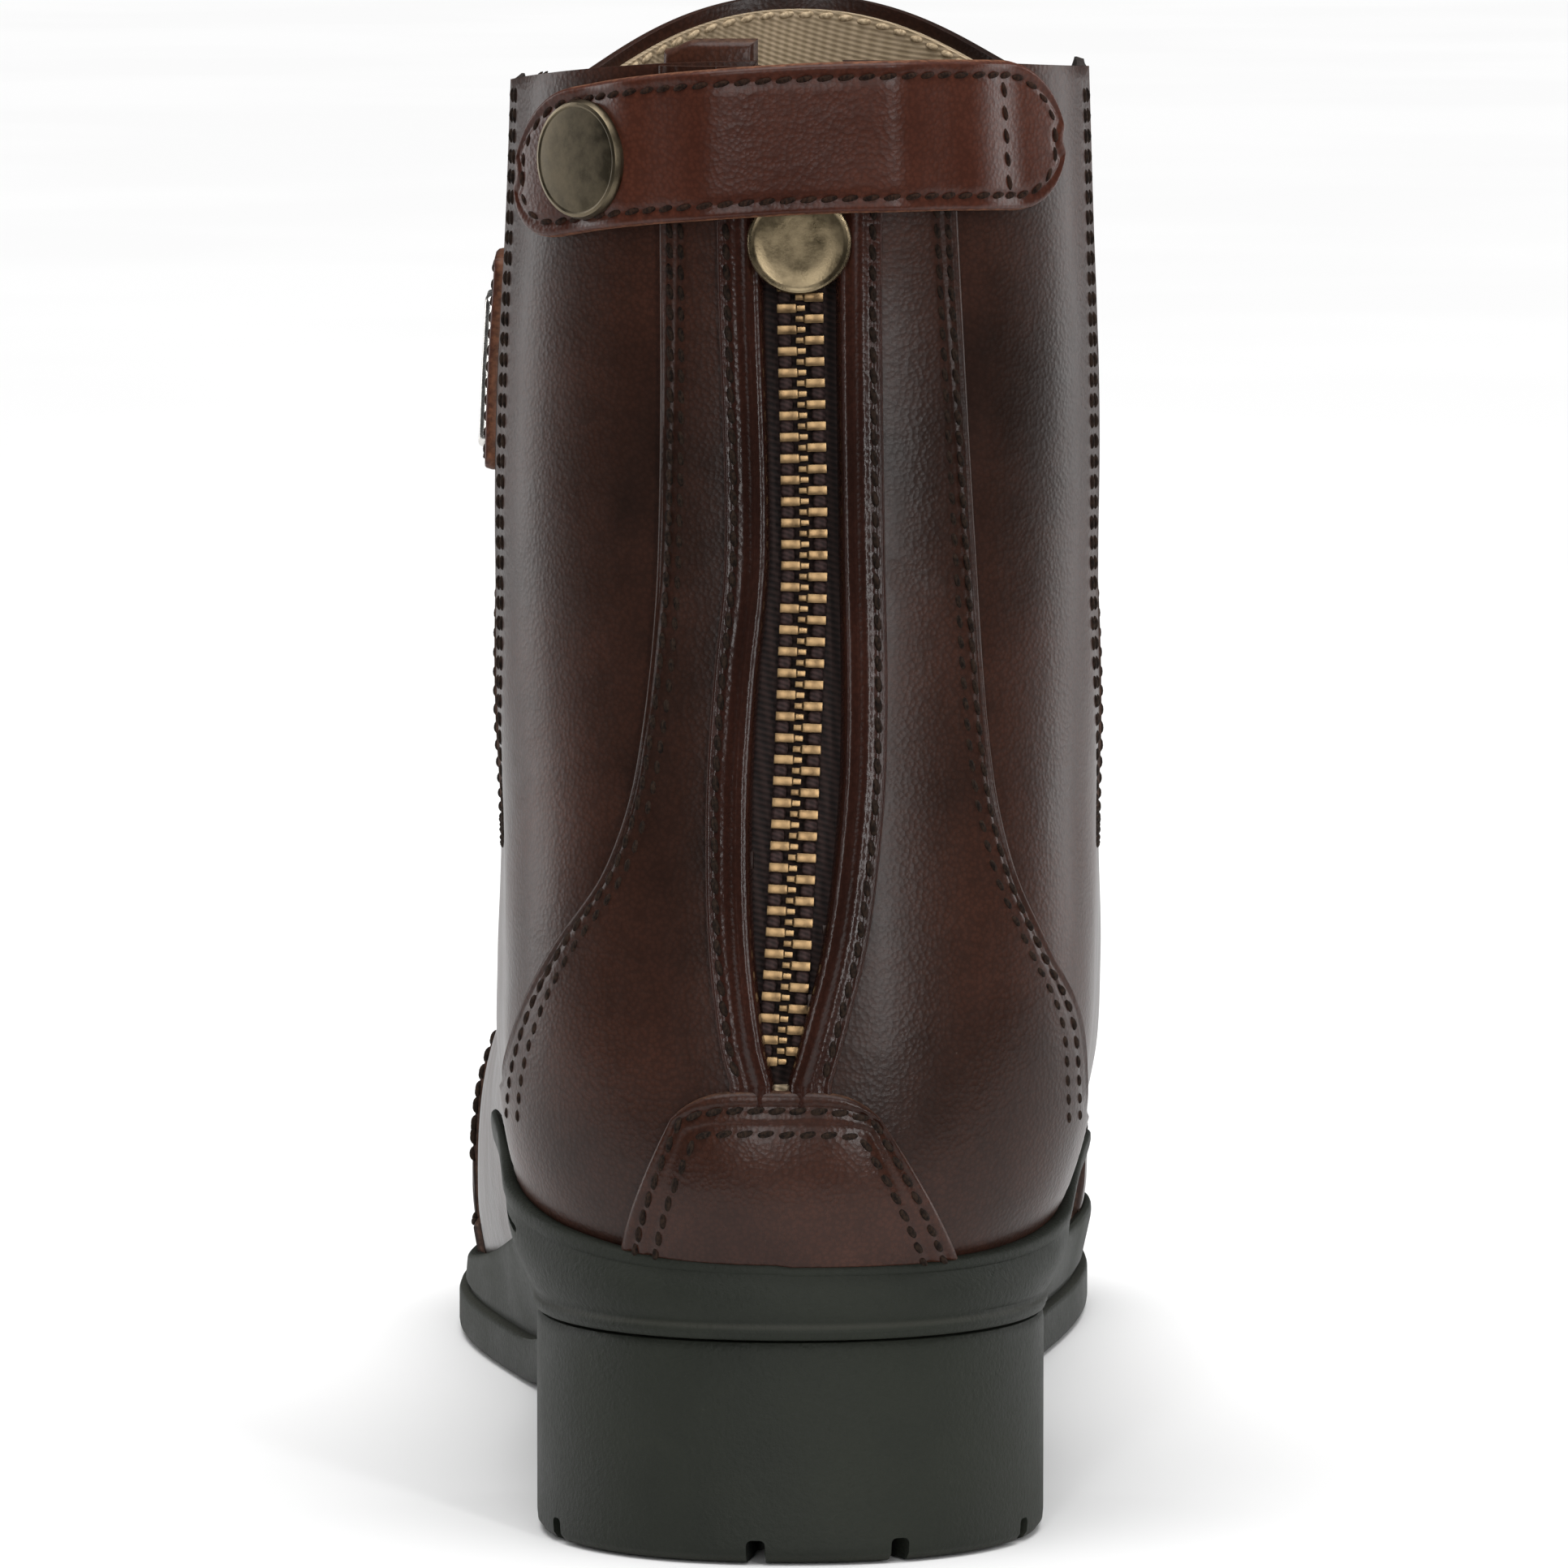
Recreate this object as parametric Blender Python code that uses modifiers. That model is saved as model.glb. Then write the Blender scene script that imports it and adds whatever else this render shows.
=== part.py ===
"""Left paddock boot with a rear zip, elastic sides and a rubber sole, in metres.

The origin is on the floor under the centre of the heel. The toe points along +Y,
+Z is up, and the outer (lateral) side of the foot is at -X.
"""
import functools
import math

import bmesh
import bpy
from mathutils import Matrix, Vector

# Sole
SOLE_LENGTH = 0.278
HEEL_BACK = 0.035
TOE_Y = SOLE_LENGTH - HEEL_BACK
BALL_WIDTH = 0.0898
BALL_OUTWARD = 0.002
BALL_LATERAL_Y = 0.175
BALL_MEDIAL_Y = 0.200
WAIST_Y = 0.078
WAIST_LATERAL = 0.0305
WAIST_MEDIAL = 0.0265
HEEL_SEAT_WIDTH = 0.0656
HEEL_ROUND = 0.034
SPRING_Y = 0.198
TOE_SPRING = 0.008
OUTSOLE_LAYER = 0.0064
OUTSOLE_EDGE = 0.0012
WELT_STEP = 0.0009
WELT_GROOVE = 0.0004
FOREFOOT_FLOOR = 0.008
SHANK_THICKNESS = 0.0045
FLAT_START_Y = 0.122
RIM_THICKNESS = 0.0024
TREAD_PITCH = 0.012
TREAD_WIDTH = 0.002
TREAD_DEPTH = 0.0013
TREAD_START_Y = 0.130
TREAD_COUNT = 6

# Heel block
HEEL_HEIGHT = 0.028
HEEL_LENGTH = 0.062
HEEL_WIDTH = 0.0646
HEEL_BEVEL = 0.0015
NOTCH_WIDTH = 0.0024
NOTCH_HEIGHT = 0.003
NOTCH_LENGTH = 0.009
NOTCH_ANGLES = (-62.0, -7.4, 23.6, 62.0)

# Upper
WALL = 0.0022
INSOLE_THICKNESS = 0.0035
COLLAR_BACK_Z = 0.1875
COLLAR_FRONT_Z = 0.1925
COLLAR_DIP_LATERAL = 0.0062
COLLAR_DIP_MEDIAL = 0.0040
COLLAR_ARCH = 0.0066
COLLAR_ARCH_REACH = 0.42
COLLAR_FRONT_Y = 0.0705
SHAFT_WIDTH = 0.0790
SHAFT_LEAN = 0.0012
INSTEP_LATERAL = 1.03
INSTEP_MEDIAL = 0.96
ANKLE_BULGE = 0.0020
ANKLE_Z = 0.075
ANKLE_REACH = 0.055
HEEL_REACH = 0.033
BACK_ROUND = 0.032
UPPER_TOE_Y = 0.238
LEATHER = 0.0010

# Cut-outs, elastic and badge
GUSSET_Y = 0.022
GUSSET_WIDTH = 0.042
GUSSET_FOOT_Z = 0.088
ELASTIC_THICKNESS = 0.0012
ELASTIC_SINK = 0.0006
TAB_Z = 0.1475
TAB_HEIGHT = 0.0275
TAB_WIDTH = 0.021
TAB_THICKNESS = 0.0013
PLATE_Z = 0.1462
PLATE_HEIGHT = 0.0195
PLATE_WIDTH = 0.015
PLATE_THICKNESS = 0.0006

# Zip
ZIP_FOOT_Z = 0.0605
SLOT_MARGIN = 0.0002
FACING_WIDTH = 0.0056
TAPE_WIDTH = 0.024
TAPE_THICKNESS = 0.0008
TOOTH_PITCH = 0.00267
TOOTH_SHARE = 0.42
CHAIN_WIDTH = 0.0059
BEAD_WIDTH = 0.0011
TOOTH_REACH = 0.0010
CHAIN_THICKNESS = 0.0020
SLIDER_Z = 0.1755
SLIDER_LENGTH = 0.0115
SLIDER_WIDTH = 0.0078
SLIDER_PLATE = 0.0010
BRIDGE_SPAN = 0.0064
BRIDGE_WIDTH = 0.0016
BRIDGE_BAR = 0.0009
PIN_DIAMETER = 0.0012
PULL_DIAMETER = 0.013
PULL_THICKNESS = 0.0012
PULL_DROP = 0.0102
PULL_ARM = 0.0011

# Strap, snap and collar tab
STRAP_Z = 0.1780
STRAP_HEIGHT = 0.0188
STRAP_THICKNESS = 0.0018
STRAP_FLAT = 0.0095
STRAP_SLACK = 0.0009
BACK_RADIUS = 0.036
STRAP_TILT = 3.0
STRAP_SAG = 0.0032
STRAP_LATERAL = 0.0398
STRAP_MEDIAL = 0.0356
SNAP_ARC = -0.0270
SNAP_DIAMETER = 0.015
SNAP_HEIGHT = 0.0024
COLLAR_TAB_X = -0.0112
COLLAR_TAB_WIDTH = 0.013
COLLAR_TAB_HEIGHT = 0.012
COLLAR_TAB_RISE = 0.0030
COLLAR_TAB_FOLD = 0.0012
PATCH_TOP_Z = 0.0595
PATCH_TOP_X = -0.0017
PATCH_TOP_WIDTH = 0.024
PATCH_FOOT_WIDTH = 0.0405
PATCH_CORNER = 0.0025
TOE_CAP_LENGTH = 0.050
TOE_CAP_SWEEP = 0.009

# Fits
GAP = 0.0003
RIM_LIFT = 0.0007
LOOP_POINTS = 48
UPPER_LEVELS = 19
SHELL_STEP = 0.004
CAP_TOP_LEVEL = 0.62
COUNTER_TOP_LEVEL = 0.9985
FACING_TOP_LEVEL = 0.998
PATCH_TOP_LEVEL = 0.31


def table(columns, *rows):
    """A short table read by column name."""
    names = columns.split()
    return {name: [row[place] for row in rows] for place, name in enumerate(names)}


# Sections of the last, from the feather edge (level 0) to the collar (level 1).
# back_y is a share of HEEL_REACH, front_y of the run from the collar's front to the toe,
# back_z and front_z of the rise from the floor of the cup to the collar. The widths are
# shares of half the shaft's width, or of half the ball's width, and nose is a share of UPPER_TOE_Y.
LAST = table(
    "level back_y back_z front_y front_z heel mid instep lateral medial nose_lateral nose_medial",
    (0.00, 0.895, 0.000, 0.980, 0.000, 0.720, 0.720, 0.640, 0.950, 0.870, 0.262, 0.175),
    (0.08, 0.985, 0.080, 1.000, 0.045, 0.850, 0.890, 0.830, 0.985, 0.925, 0.262, 0.178),
    (0.19, 1.000, 0.180, 0.988, 0.108, 0.915, 0.965, 0.915, 0.960, 0.905, 0.275, 0.195),
    (0.31, 0.955, 0.290, 0.930, 0.178, 0.925, 0.970, 0.900, 0.835, 0.830, 0.330, 0.270),
    (0.44, 0.865, 0.418, 0.752, 0.244, 0.935, 0.960, 0.850, 0.650, 0.640, 0.480, 0.440),
    (0.57, 0.790, 0.546, 0.487, 0.340, 0.968, 0.985, 0.790, 0.560, 0.530, 0.455, 0.430),
    (0.70, 0.745, 0.675, 0.248, 0.475, 0.985, 0.998, 0.820, 0.520, 0.500, 0.330, 0.320),
    (0.83, 0.730, 0.810, 0.099, 0.622, 0.980, 0.990, 0.900, 0.520, 0.500, 0.250, 0.245),
    (0.93, 0.760, 0.915, 0.028, 0.798, 0.955, 0.968, 0.930, 0.520, 0.500, 0.210, 0.208),
    (1.00, 0.785, 1.000, 0.000, 1.000, 0.935, 0.950, 0.930, 0.520, 0.500, 0.198, 0.198),
)

# Height of the rubber rim above the floor of the cup, as shares of HEEL_HEIGHT; y is a share of TOE_Y.
RIM = table(
    "y lateral medial",
    (-0.144, 0.190, 0.190),
    (-0.080, 0.300, 0.225),
    (0.000, 0.480, 0.345),
    (0.145, 0.590, 0.500),
    (0.290, 0.650, 0.570),
    (0.450, 0.520, 0.490),
    (0.620, 0.220, 0.320),
    (0.730, 0.105, 0.285),
    (0.880, 0.125, 0.270),
    (1.000, 0.200, 0.230),
)

# Half width of the counter at heights that are shares of COLLAR_BACK_Z, in shares of half the shaft's width.
COUNTER = table(
    "z lateral medial",
    (0.225, 0.925, 0.935),
    (0.310, 0.905, 0.930),
    (0.360, 0.845, 0.905),
    (0.405, 0.745, 0.810),
    (0.460, 0.580, 0.700),
    (0.530, 0.480, 0.630),
    (0.670, 0.415, 0.580),
    (1.000, 0.410, 0.495),
)

# Middle and half width of the zip's slot, as shares of CHAIN_WIDTH, at shares of the zip's height.
SLOT = table(
    "z middle half",
    (0.000, -0.200, 0.100),
    (0.040, -0.190, 0.330),
    (0.140, -0.070, 0.700),
    (0.270, 0.045, 0.880),
    (0.380, 0.120, 0.850),
    (0.520, 0.190, 0.700),
    (0.800, 0.030, 0.740),
    (1.000, 0.000, 0.780),
)


def read(rows, key, column, place, level_ends=False):
    """A smooth value between the rows of a table, held past its ends; level_ends makes it arrive level there."""
    keys = rows[key]
    values = rows[column]
    if place <= keys[0]:
        return values[0]
    if place >= keys[-1]:
        return values[-1]
    k = 0
    while place > keys[k + 1]:
        k += 1
    span = keys[k + 1] - keys[k]
    t = (place - keys[k]) / span

    def slope(j):
        before = max(j - 1, 0)
        after = min(j + 1, len(keys) - 1)
        if level_ends and after - before == 1:
            return 0.0
        return (values[after] - values[before]) / (keys[after] - keys[before])

    a = values[k]
    b = values[k + 1]
    m = slope(k) * span
    n = slope(k + 1) * span
    return (
        (2 * t**3 - 3 * t**2 + 1) * a
        + (t**3 - 2 * t**2 + t) * m
        + (-2 * t**3 + 3 * t**2) * b
        + (t**3 - t**2) * n
    )


def ease(t):
    """0 to 1 with level ends."""
    t = min(max(t, 0.0), 1.0)
    return t * t * (3.0 - 2.0 * t)


def mix(a, b, t):
    return a + (b - a) * t


def round_end(distance, reach, power=2.0):
    """Share of the full width at a distance behind a rounded end."""
    t = min(max(distance / reach, 0.0), 1.0)
    return (1.0 - (1.0 - t) ** power) ** (1.0 / power)


def bottom_z(y):
    """Underside of the sole along its length: flat heel, waist, flat forefoot, toe spring."""
    breast = HEEL_LENGTH - HEEL_BACK
    heel_top = HEEL_HEIGHT + GAP
    waist = mix(heel_top, 0.0, ease((y - breast) / (FLAT_START_Y - breast)))
    spring = TOE_SPRING * max(0.0, (y - SPRING_Y) / (TOE_Y - SPRING_Y)) ** 2
    return waist + spring


def floor_z(y):
    """Floor of the cup, where the upper and the insole stand."""
    breast = HEEL_LENGTH - HEEL_BACK
    thickness = mix(SHANK_THICKNESS, FOREFOOT_FLOOR, ease((y - breast) / (FLAT_START_Y - breast)))
    return bottom_z(y) + thickness


def outline_half(side, y):
    """Half width of the sole's outline on one side, side -1 lateral or +1 medial."""
    heel = HEEL_SEAT_WIDTH / 2
    if side < 0:
        waist = WAIST_LATERAL
        ball = BALL_WIDTH / 2 + BALL_OUTWARD
        ball_y = BALL_LATERAL_Y
    else:
        waist = WAIST_MEDIAL
        ball = BALL_WIDTH / 2 - BALL_OUTWARD
        ball_y = BALL_MEDIAL_Y
    if y < WAIST_Y:
        width = mix(heel, waist, ease(y / WAIST_Y))
    else:
        width = mix(waist, ball, ease((y - WAIST_Y) / (ball_y - WAIST_Y)))
    return (
        width
        * round_end(y + HEEL_BACK, HEEL_ROUND, 2.2)
        * round_end(TOE_Y - y, TOE_Y - ball_y, 2.2)
    )


def side_of(angle):
    return 1.0 if math.sin(angle) >= 0.0 else -1.0


def share_of(angle):
    """How far along a loop from its back point (0) to its front point (1)."""
    return (1.0 - math.cos(angle)) / 2.0


@functools.lru_cache(maxsize=None)
def last_value(column, level):
    return read(LAST, "level", column, level)


@functools.lru_cache(maxsize=None)
def loop_ends(level):
    back_y = -HEEL_REACH * last_value("back_y", level)
    front_y = mix(COLLAR_FRONT_Y, UPPER_TOE_Y, last_value("front_y", level))
    return back_y, front_y


@functools.lru_cache(maxsize=None)
def loop_heights(level):
    """Heights of a loop's back and front point, and how far it follows the floor's curve."""
    back_y, front_y = loop_ends(level)
    seat = floor_z(back_y) + GAP
    toe = floor_z(front_y) + GAP
    back_z = mix(seat, COLLAR_BACK_Z, last_value("back_z", level))
    front_z = mix(toe, COLLAR_FRONT_Z, last_value("front_z", level))
    return back_z, front_z, 1.0 - ease(level / 0.30)


def upper_point(level, angle):
    """A point of the leather's outer face, at a level and an angle round the loop."""
    side = side_of(angle)
    share = share_of(angle)
    back_y, front_y = loop_ends(level)
    y = mix(back_y, front_y, share)

    back_z, front_z, follow = loop_heights(level)
    z = mix(back_z, front_z, share)
    if follow > 0.0:
        z += follow * (floor_z(y) - mix(floor_z(back_y), floor_z(front_y), share))
    dip = COLLAR_DIP_LATERAL if side < 0 else COLLAR_DIP_MEDIAL
    arch = min((1.0 - share) / COLLAR_ARCH_REACH, 1.0)
    drop = dip * math.sin(math.pi * share) + COLLAR_ARCH * math.sin(math.pi * arch)
    z -= drop * ease((level - 0.7) / 0.3)

    heel = last_value("heel", level) * SHAFT_WIDTH / 2
    middle = last_value("mid", level) * SHAFT_WIDTH / 2
    instep = last_value("instep", level) * SHAFT_WIDTH / 2
    if side < 0:
        ball = last_value("lateral", level) * BALL_WIDTH / 2
        ball_y = BALL_LATERAL_Y
        nose = last_value("nose_lateral", level) * UPPER_TOE_Y
        instep *= INSTEP_LATERAL
    else:
        ball = last_value("medial", level) * BALL_WIDTH / 2
        ball_y = BALL_MEDIAL_Y
        nose = last_value("nose_medial", level) * UPPER_TOE_Y
        instep *= INSTEP_MEDIAL
        bulge = ANKLE_BULGE * ease(1.0 - abs(z - ANKLE_Z) / ANKLE_REACH)
        heel += bulge
        middle += bulge
        instep += bulge
    middle_y = WAIST_Y * 0.5
    instep_y = WAIST_Y * 1.2
    if y < middle_y:
        width = mix(heel, middle, ease(y / middle_y))
    elif y < instep_y:
        width = mix(middle, instep, ease((y - middle_y) / (instep_y - middle_y)))
    else:
        width = mix(instep, ball, ease((y - instep_y) / (ball_y - instep_y)))
    heel_round = mix(HEEL_ROUND * 0.9, BACK_ROUND, ease(level / 0.5))
    x = width * round_end(y - back_y, heel_round, 2.1) * round_end(front_y - y, nose, 2.1)
    lean = SHAFT_LEAN * ease((z - HEEL_HEIGHT) / (COLLAR_BACK_Z - HEEL_HEIGHT))
    return Vector((side * x + lean, y, z))


@functools.lru_cache(maxsize=None)
def upper_normal(level, angle):
    """Outward direction of the leather's face."""
    step_level = 0.004
    step_angle = 0.02
    low = max(level - step_level, 0.0)
    high = min(level + step_level, 1.0)
    up = upper_point(high, angle) - upper_point(low, angle)
    along = upper_point(level, angle + step_angle) - upper_point(level, angle - step_angle)
    return along.cross(up).normalized()


def upper_offset(level, angle, offset):
    return upper_point(level, angle) + upper_normal(level, angle) * offset


def angle_for_y(level, y, side):
    back_y, front_y = loop_ends(level)
    share = min(max((y - back_y) / (front_y - back_y), 0.0), 1.0)
    return side * math.acos(1.0 - 2.0 * share)


def level_for_z(z, angle_at_level):
    """The level at which the leather reaches a height, for an angle that may depend on the level."""
    low = 0.0
    high = 1.0
    for _ in range(26):
        level = (low + high) / 2
        if upper_point(level, angle_at_level(level)).z < z:
            low = level
        else:
            high = level
    return (low + high) / 2


def on_side(side, y, z, offset):
    """A point on the side of the leather, at a length and a height."""
    level = level_for_z(z, lambda at: angle_for_y(at, y, side))
    point = upper_offset(level, angle_for_y(level, y, side), offset)
    point.z += max(0.0, z - upper_point(level, angle_for_y(level, y, side)).z)
    return point


@functools.lru_cache(maxsize=None)
def angle_for_x(level, x):
    """The angle on the back of the loop where the leather is at x."""
    back_y, front_y = loop_ends(level)
    reach = math.acos(1.0 - 2.0 * min(1.0, (GUSSET_Y - back_y) / (front_y - back_y)))
    low = -reach
    high = reach
    for _ in range(26):
        angle = (low + high) / 2
        if upper_point(level, angle).x < x:
            low = angle
        else:
            high = angle
    return (low + high) / 2


def on_back(x, z, offset):
    """A point on the back of the leather, as seen from behind at x and z."""
    level = level_for_z(z, lambda at: angle_for_x(at, x))
    angle = angle_for_x(level, x)
    point = upper_offset(level, angle, offset)
    point.z += max(0.0, z - upper_point(level, angle).z)
    return point


def clear_scene():
    for old in list(bpy.data.objects):
        bpy.data.objects.remove(old)


def new_collection(name):
    made = bpy.data.collections.new(name)
    bpy.context.scene.collection.children.link(made)
    return made


def material(name, colour, roughness, metallic=0.0):
    made = bpy.data.materials.new(name)
    made.use_nodes = True
    shader = made.node_tree.nodes["Principled BSDF"]
    shader.inputs["Base Color"].default_value = (*colour, 1.0)
    shader.inputs["Roughness"].default_value = roughness
    shader.inputs["Metallic"].default_value = metallic
    return made


def add_mesh_object(name, bm, finish, collection):
    mesh = bpy.data.meshes.new(name)
    bm.to_mesh(mesh)
    bm.free()
    mesh.shade_smooth()
    mesh.set_sharp_from_angle(angle=math.radians(35))
    made = bpy.data.objects.new(name, mesh)
    if finish:
        mesh.materials.append(finish)
    collection.objects.link(made)
    return made


def grid_mesh(rows, closed=False):
    """An open surface through rows of points, facing outward for rows that go up."""
    bm = bmesh.new()
    verts = [[bm.verts.new(point) for point in row] for row in rows]
    count = len(rows[0])
    last = count if closed else count - 1
    for low, high in zip(verts, verts[1:]):
        for i in range(last):
            j = (i + 1) % count
            bm.faces.new((low[i], low[j], high[j], high[i]))
    return bm


def thicken(made, thickness, offset):
    wall = made.modifiers.new("wall", "SOLIDIFY")
    wall.thickness = thickness
    wall.offset = offset
    wall.use_even_offset = True
    return wall


def subtract(made, cutter):
    cut = made.modifiers.new("cut_" + cutter.name, "BOOLEAN")
    cut.operation = "DIFFERENCE"
    cut.solver = "EXACT"
    cut.object = cutter
    return cut


def hide_cutter(cutter):
    cutter.display_type = "WIRE"
    cutter.hide_render = True
    return cutter


def panel(name, rows, thickness, finish, collection):
    """A leather, tape or plate panel that lies on the rows and grows outward."""
    made = add_mesh_object(name, grid_mesh(rows), finish, collection)
    thicken(made, thickness, 1.0)
    return made


def loops_mesh(loops):
    """A closed body through loops of equal count, capped across its first and last loop."""
    bm = grid_mesh(loops, closed=True)
    bm.verts.ensure_lookup_table()
    count = len(loops[0])

    def cap(start, flip):
        for i in range(count // 2):
            ring = [start + i, start + i + 1, start + (count - i - 1), start + (count - i) % count]
            corners = []
            for place in ring:
                vert = bm.verts[place]
                if vert not in corners:
                    corners.append(vert)
            if flip:
                corners.reverse()
            if len(corners) > 2:
                bm.faces.new(corners)

    cap(0, True)
    cap(count * (len(loops) - 1), False)
    return bm


def loop_angles():
    return [2.0 * math.pi * i / LOOP_POINTS for i in range(LOOP_POINTS)]


def upper_levels():
    """Levels of the upper's rows, closer together over the toe."""
    return [(step / UPPER_LEVELS) ** 1.15 for step in range(UPPER_LEVELS + 1)]


def make_upper(finish, parts, slot_cutter, gusset_cutter):
    rows = [[upper_point(level, angle) for angle in loop_angles()] for level in upper_levels()]
    upper = add_mesh_object("upper", grid_mesh(rows, closed=True), finish, parts)
    thicken(upper, WALL, -1.0)
    subtract(upper, slot_cutter)
    subtract(upper, gusset_cutter)
    return upper


def slot_edge(z, side, margin):
    share = (z - ZIP_FOOT_Z) / (COLLAR_BACK_Z - ZIP_FOOT_Z)
    middle = read(SLOT, "z", "middle", share) * CHAIN_WIDTH
    half = read(SLOT, "z", "half", share) * CHAIN_WIDTH
    return middle + side * (half + margin) + SHAFT_LEAN * share


def make_slot_cutter(name, margin, least, cutters):
    """A curved blade that opens the back wall between the zip's two edges, least wide each way."""
    steps = 18
    above = 0.006
    depth = 0.012
    rows = []
    for step in range(steps + 1):
        z = mix(ZIP_FOOT_Z - margin, COLLAR_BACK_Z + above, step / steps)
        y = on_back(0.0, min(z, COLLAR_BACK_Z), 0.0).y
        middle = (slot_edge(z, -1, 0) + slot_edge(z, 1, 0)) / 2
        left = min(slot_edge(z, -1, margin), middle - least)
        right = max(slot_edge(z, 1, margin), middle + least)
        rows.append(
            [
                Vector((left, y - depth, z)),
                Vector((right, y - depth, z)),
                Vector((right, y + depth, z)),
                Vector((left, y + depth, z)),
            ]
        )
    bm = grid_mesh(rows, closed=True)
    bm.verts.ensure_lookup_table()
    bm.faces.new([bm.verts[i] for i in (3, 2, 1, 0)])
    top = 4 * steps
    bm.faces.new([bm.verts[top + i] for i in (0, 1, 2, 3)])
    return hide_cutter(add_mesh_object(name, bm, None, cutters))


def gusset_half(z, inset):
    """Half width of the elastic's U at a height, and nothing below its foot."""
    radius = GUSSET_WIDTH / 2
    return (radius - inset) * round_end(z - GUSSET_FOOT_Z - inset, radius * 1.5, 2.0)


def make_gusset_cutter(cutters):
    steps = 16
    above = 0.02
    reach = SHAFT_WIDTH
    left = []
    right = []
    for step in range(steps + 1):
        rise = GUSSET_WIDTH * 0.75 * (1.0 - math.cos(math.pi / 2 * step / steps))
        z = GUSSET_FOOT_Z + rise
        half = gusset_half(z, 0.0)
        if step:
            left.append((GUSSET_Y - half, z))
        right.append((GUSSET_Y + half, z))
    top = COLLAR_FRONT_Z + above
    outline = right + [(GUSSET_Y + GUSSET_WIDTH / 2, top), (GUSSET_Y - GUSSET_WIDTH / 2, top)]
    outline += list(reversed(left))
    bm = bmesh.new()
    face = bm.faces.new([bm.verts.new((-reach, y, z)) for y, z in outline])
    moved = bmesh.ops.extrude_face_region(bm, geom=[face])["geom"]
    bmesh.ops.translate(bm, verts=[v for v in moved if isinstance(v, bmesh.types.BMVert)], vec=(2 * reach, 0, 0))
    bmesh.ops.recalc_face_normals(bm, faces=bm.faces)
    return hide_cutter(add_mesh_object("gusset_cutter", bm, None, cutters))


def make_elastic(name, side, finish, parts):
    """The elastic fills its cut-out with a small gap all round, a little below the leather."""
    across = 6
    up = 10
    low = GUSSET_FOOT_Z + GAP + GUSSET_WIDTH * 0.02
    rows = []
    for step in range(up + 1):
        rise = 1.0 - math.cos(math.pi / 2 * step / up)
        row = []
        for place in range(across + 1):
            z_top = COLLAR_BACK_Z - GAP * 2
            z = mix(low, z_top, rise)
            half = gusset_half(z, GAP * 1.6)
            y = GUSSET_Y + side * mix(-half, half, place / across)
            row.append(on_side(side, y, min(z, collar_z(side, y) - GAP), -ELASTIC_SINK - ELASTIC_THICKNESS))
        rows.append(row)
    return panel(name, rows, ELASTIC_THICKNESS, finish, parts)


def collar_z(side, y):
    return upper_point(1.0, angle_for_y(1.0, y, side)).z


def rim_z(side, y):
    column = "lateral" if side < 0 else "medial"
    return floor_z(y) + read(RIM, "y", column, y / TOE_Y, True) * HEEL_HEIGHT


def rim_level(angle, lift=0.0):
    """The level of the upper that the top of the rubber rim reaches at an angle."""
    side = side_of(angle)

    def height(level):
        back_y, front_y = loop_ends(level)
        y = mix(back_y, front_y, share_of(angle))
        return rim_z(side, y) + lift - upper_point(level, angle).z

    low = 0.0
    high = 0.6
    for _ in range(24):
        level = (low + high) / 2
        if height(level) > 0.0:
            low = level
        else:
            high = level
    return (low + high) / 2


def make_sole(finish, parts, cutters):
    """Rubber cup and outsole: outer side with the outsole's step, rim, inner wall and floor."""

    def outline_loop(inset, height):
        loop = []
        for angle in loop_angles():
            side = side_of(angle)
            y = mix(-HEEL_BACK + inset, TOE_Y - inset, share_of(angle))
            full = mix(-HEEL_BACK, TOE_Y, share_of(angle))
            x = max(outline_half(side, full) - inset, 0.0) if 0 < share_of(angle) < 1 else 0.0
            loop.append(Vector((side * x, y, bottom_z(y) + height(y))))
        return loop

    def layer(y):
        return mix(OUTSOLE_EDGE * 1.5, OUTSOLE_LAYER, ease((y - WAIST_Y * 0.5) / (WAIST_Y * 0.8)))

    def wall_loop(share, offset, drop=0.0):
        loop = []
        for angle in loop_angles():
            level = rim_level(angle) * share
            point = upper_offset(level, angle, offset)
            point.z -= drop
            loop.append(point)
        return loop

    floor_loop = []
    for angle in loop_angles():
        point = upper_offset(0.0, angle, GAP)
        point.z = floor_z(point.y)
        floor_loop.append(point)
    outer = GAP + RIM_THICKNESS
    loops = [
        outline_loop(OUTSOLE_EDGE, lambda y: 0.0),
        outline_loop(0.0, lambda y: OUTSOLE_EDGE),
        outline_loop(0.0, layer),
        outline_loop(WELT_STEP, lambda y: layer(y) + WELT_GROOVE),
        wall_loop(0.7, outer),
        wall_loop(1.0, outer, RIM_THICKNESS * 0.35),
        wall_loop(1.0, GAP + RIM_THICKNESS * 0.6),
        wall_loop(1.0, GAP, RIM_THICKNESS * 0.15),
        wall_loop(0.75, GAP),
        wall_loop(0.5, GAP),
        wall_loop(0.25, GAP),
        floor_loop,
    ]
    sole = add_mesh_object("sole_unit", loops_mesh(loops), finish, parts)
    for number in range(TREAD_COUNT):
        y = TREAD_START_Y + number * TREAD_PITCH
        subtract(sole, make_groove("tread_%d" % number, y, cutters))
    return sole


def add_box(name, size, centre, cutters, turn=0.0):
    bm = bmesh.new()
    bmesh.ops.create_cube(bm, size=1.0)
    bmesh.ops.scale(bm, verts=bm.verts, vec=size)
    spin = Matrix.Rotation(turn, 4, "Z")
    bmesh.ops.transform(bm, matrix=spin, verts=bm.verts)
    bmesh.ops.translate(bm, verts=bm.verts, vec=centre)
    return add_mesh_object(name, bm, None, cutters)


def make_groove(name, y, cutters):
    size = (BALL_WIDTH * 1.4, TREAD_WIDTH, TREAD_DEPTH * 2)
    return hide_cutter(add_box(name, size, (0.0, y, 0.0), cutters))


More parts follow.
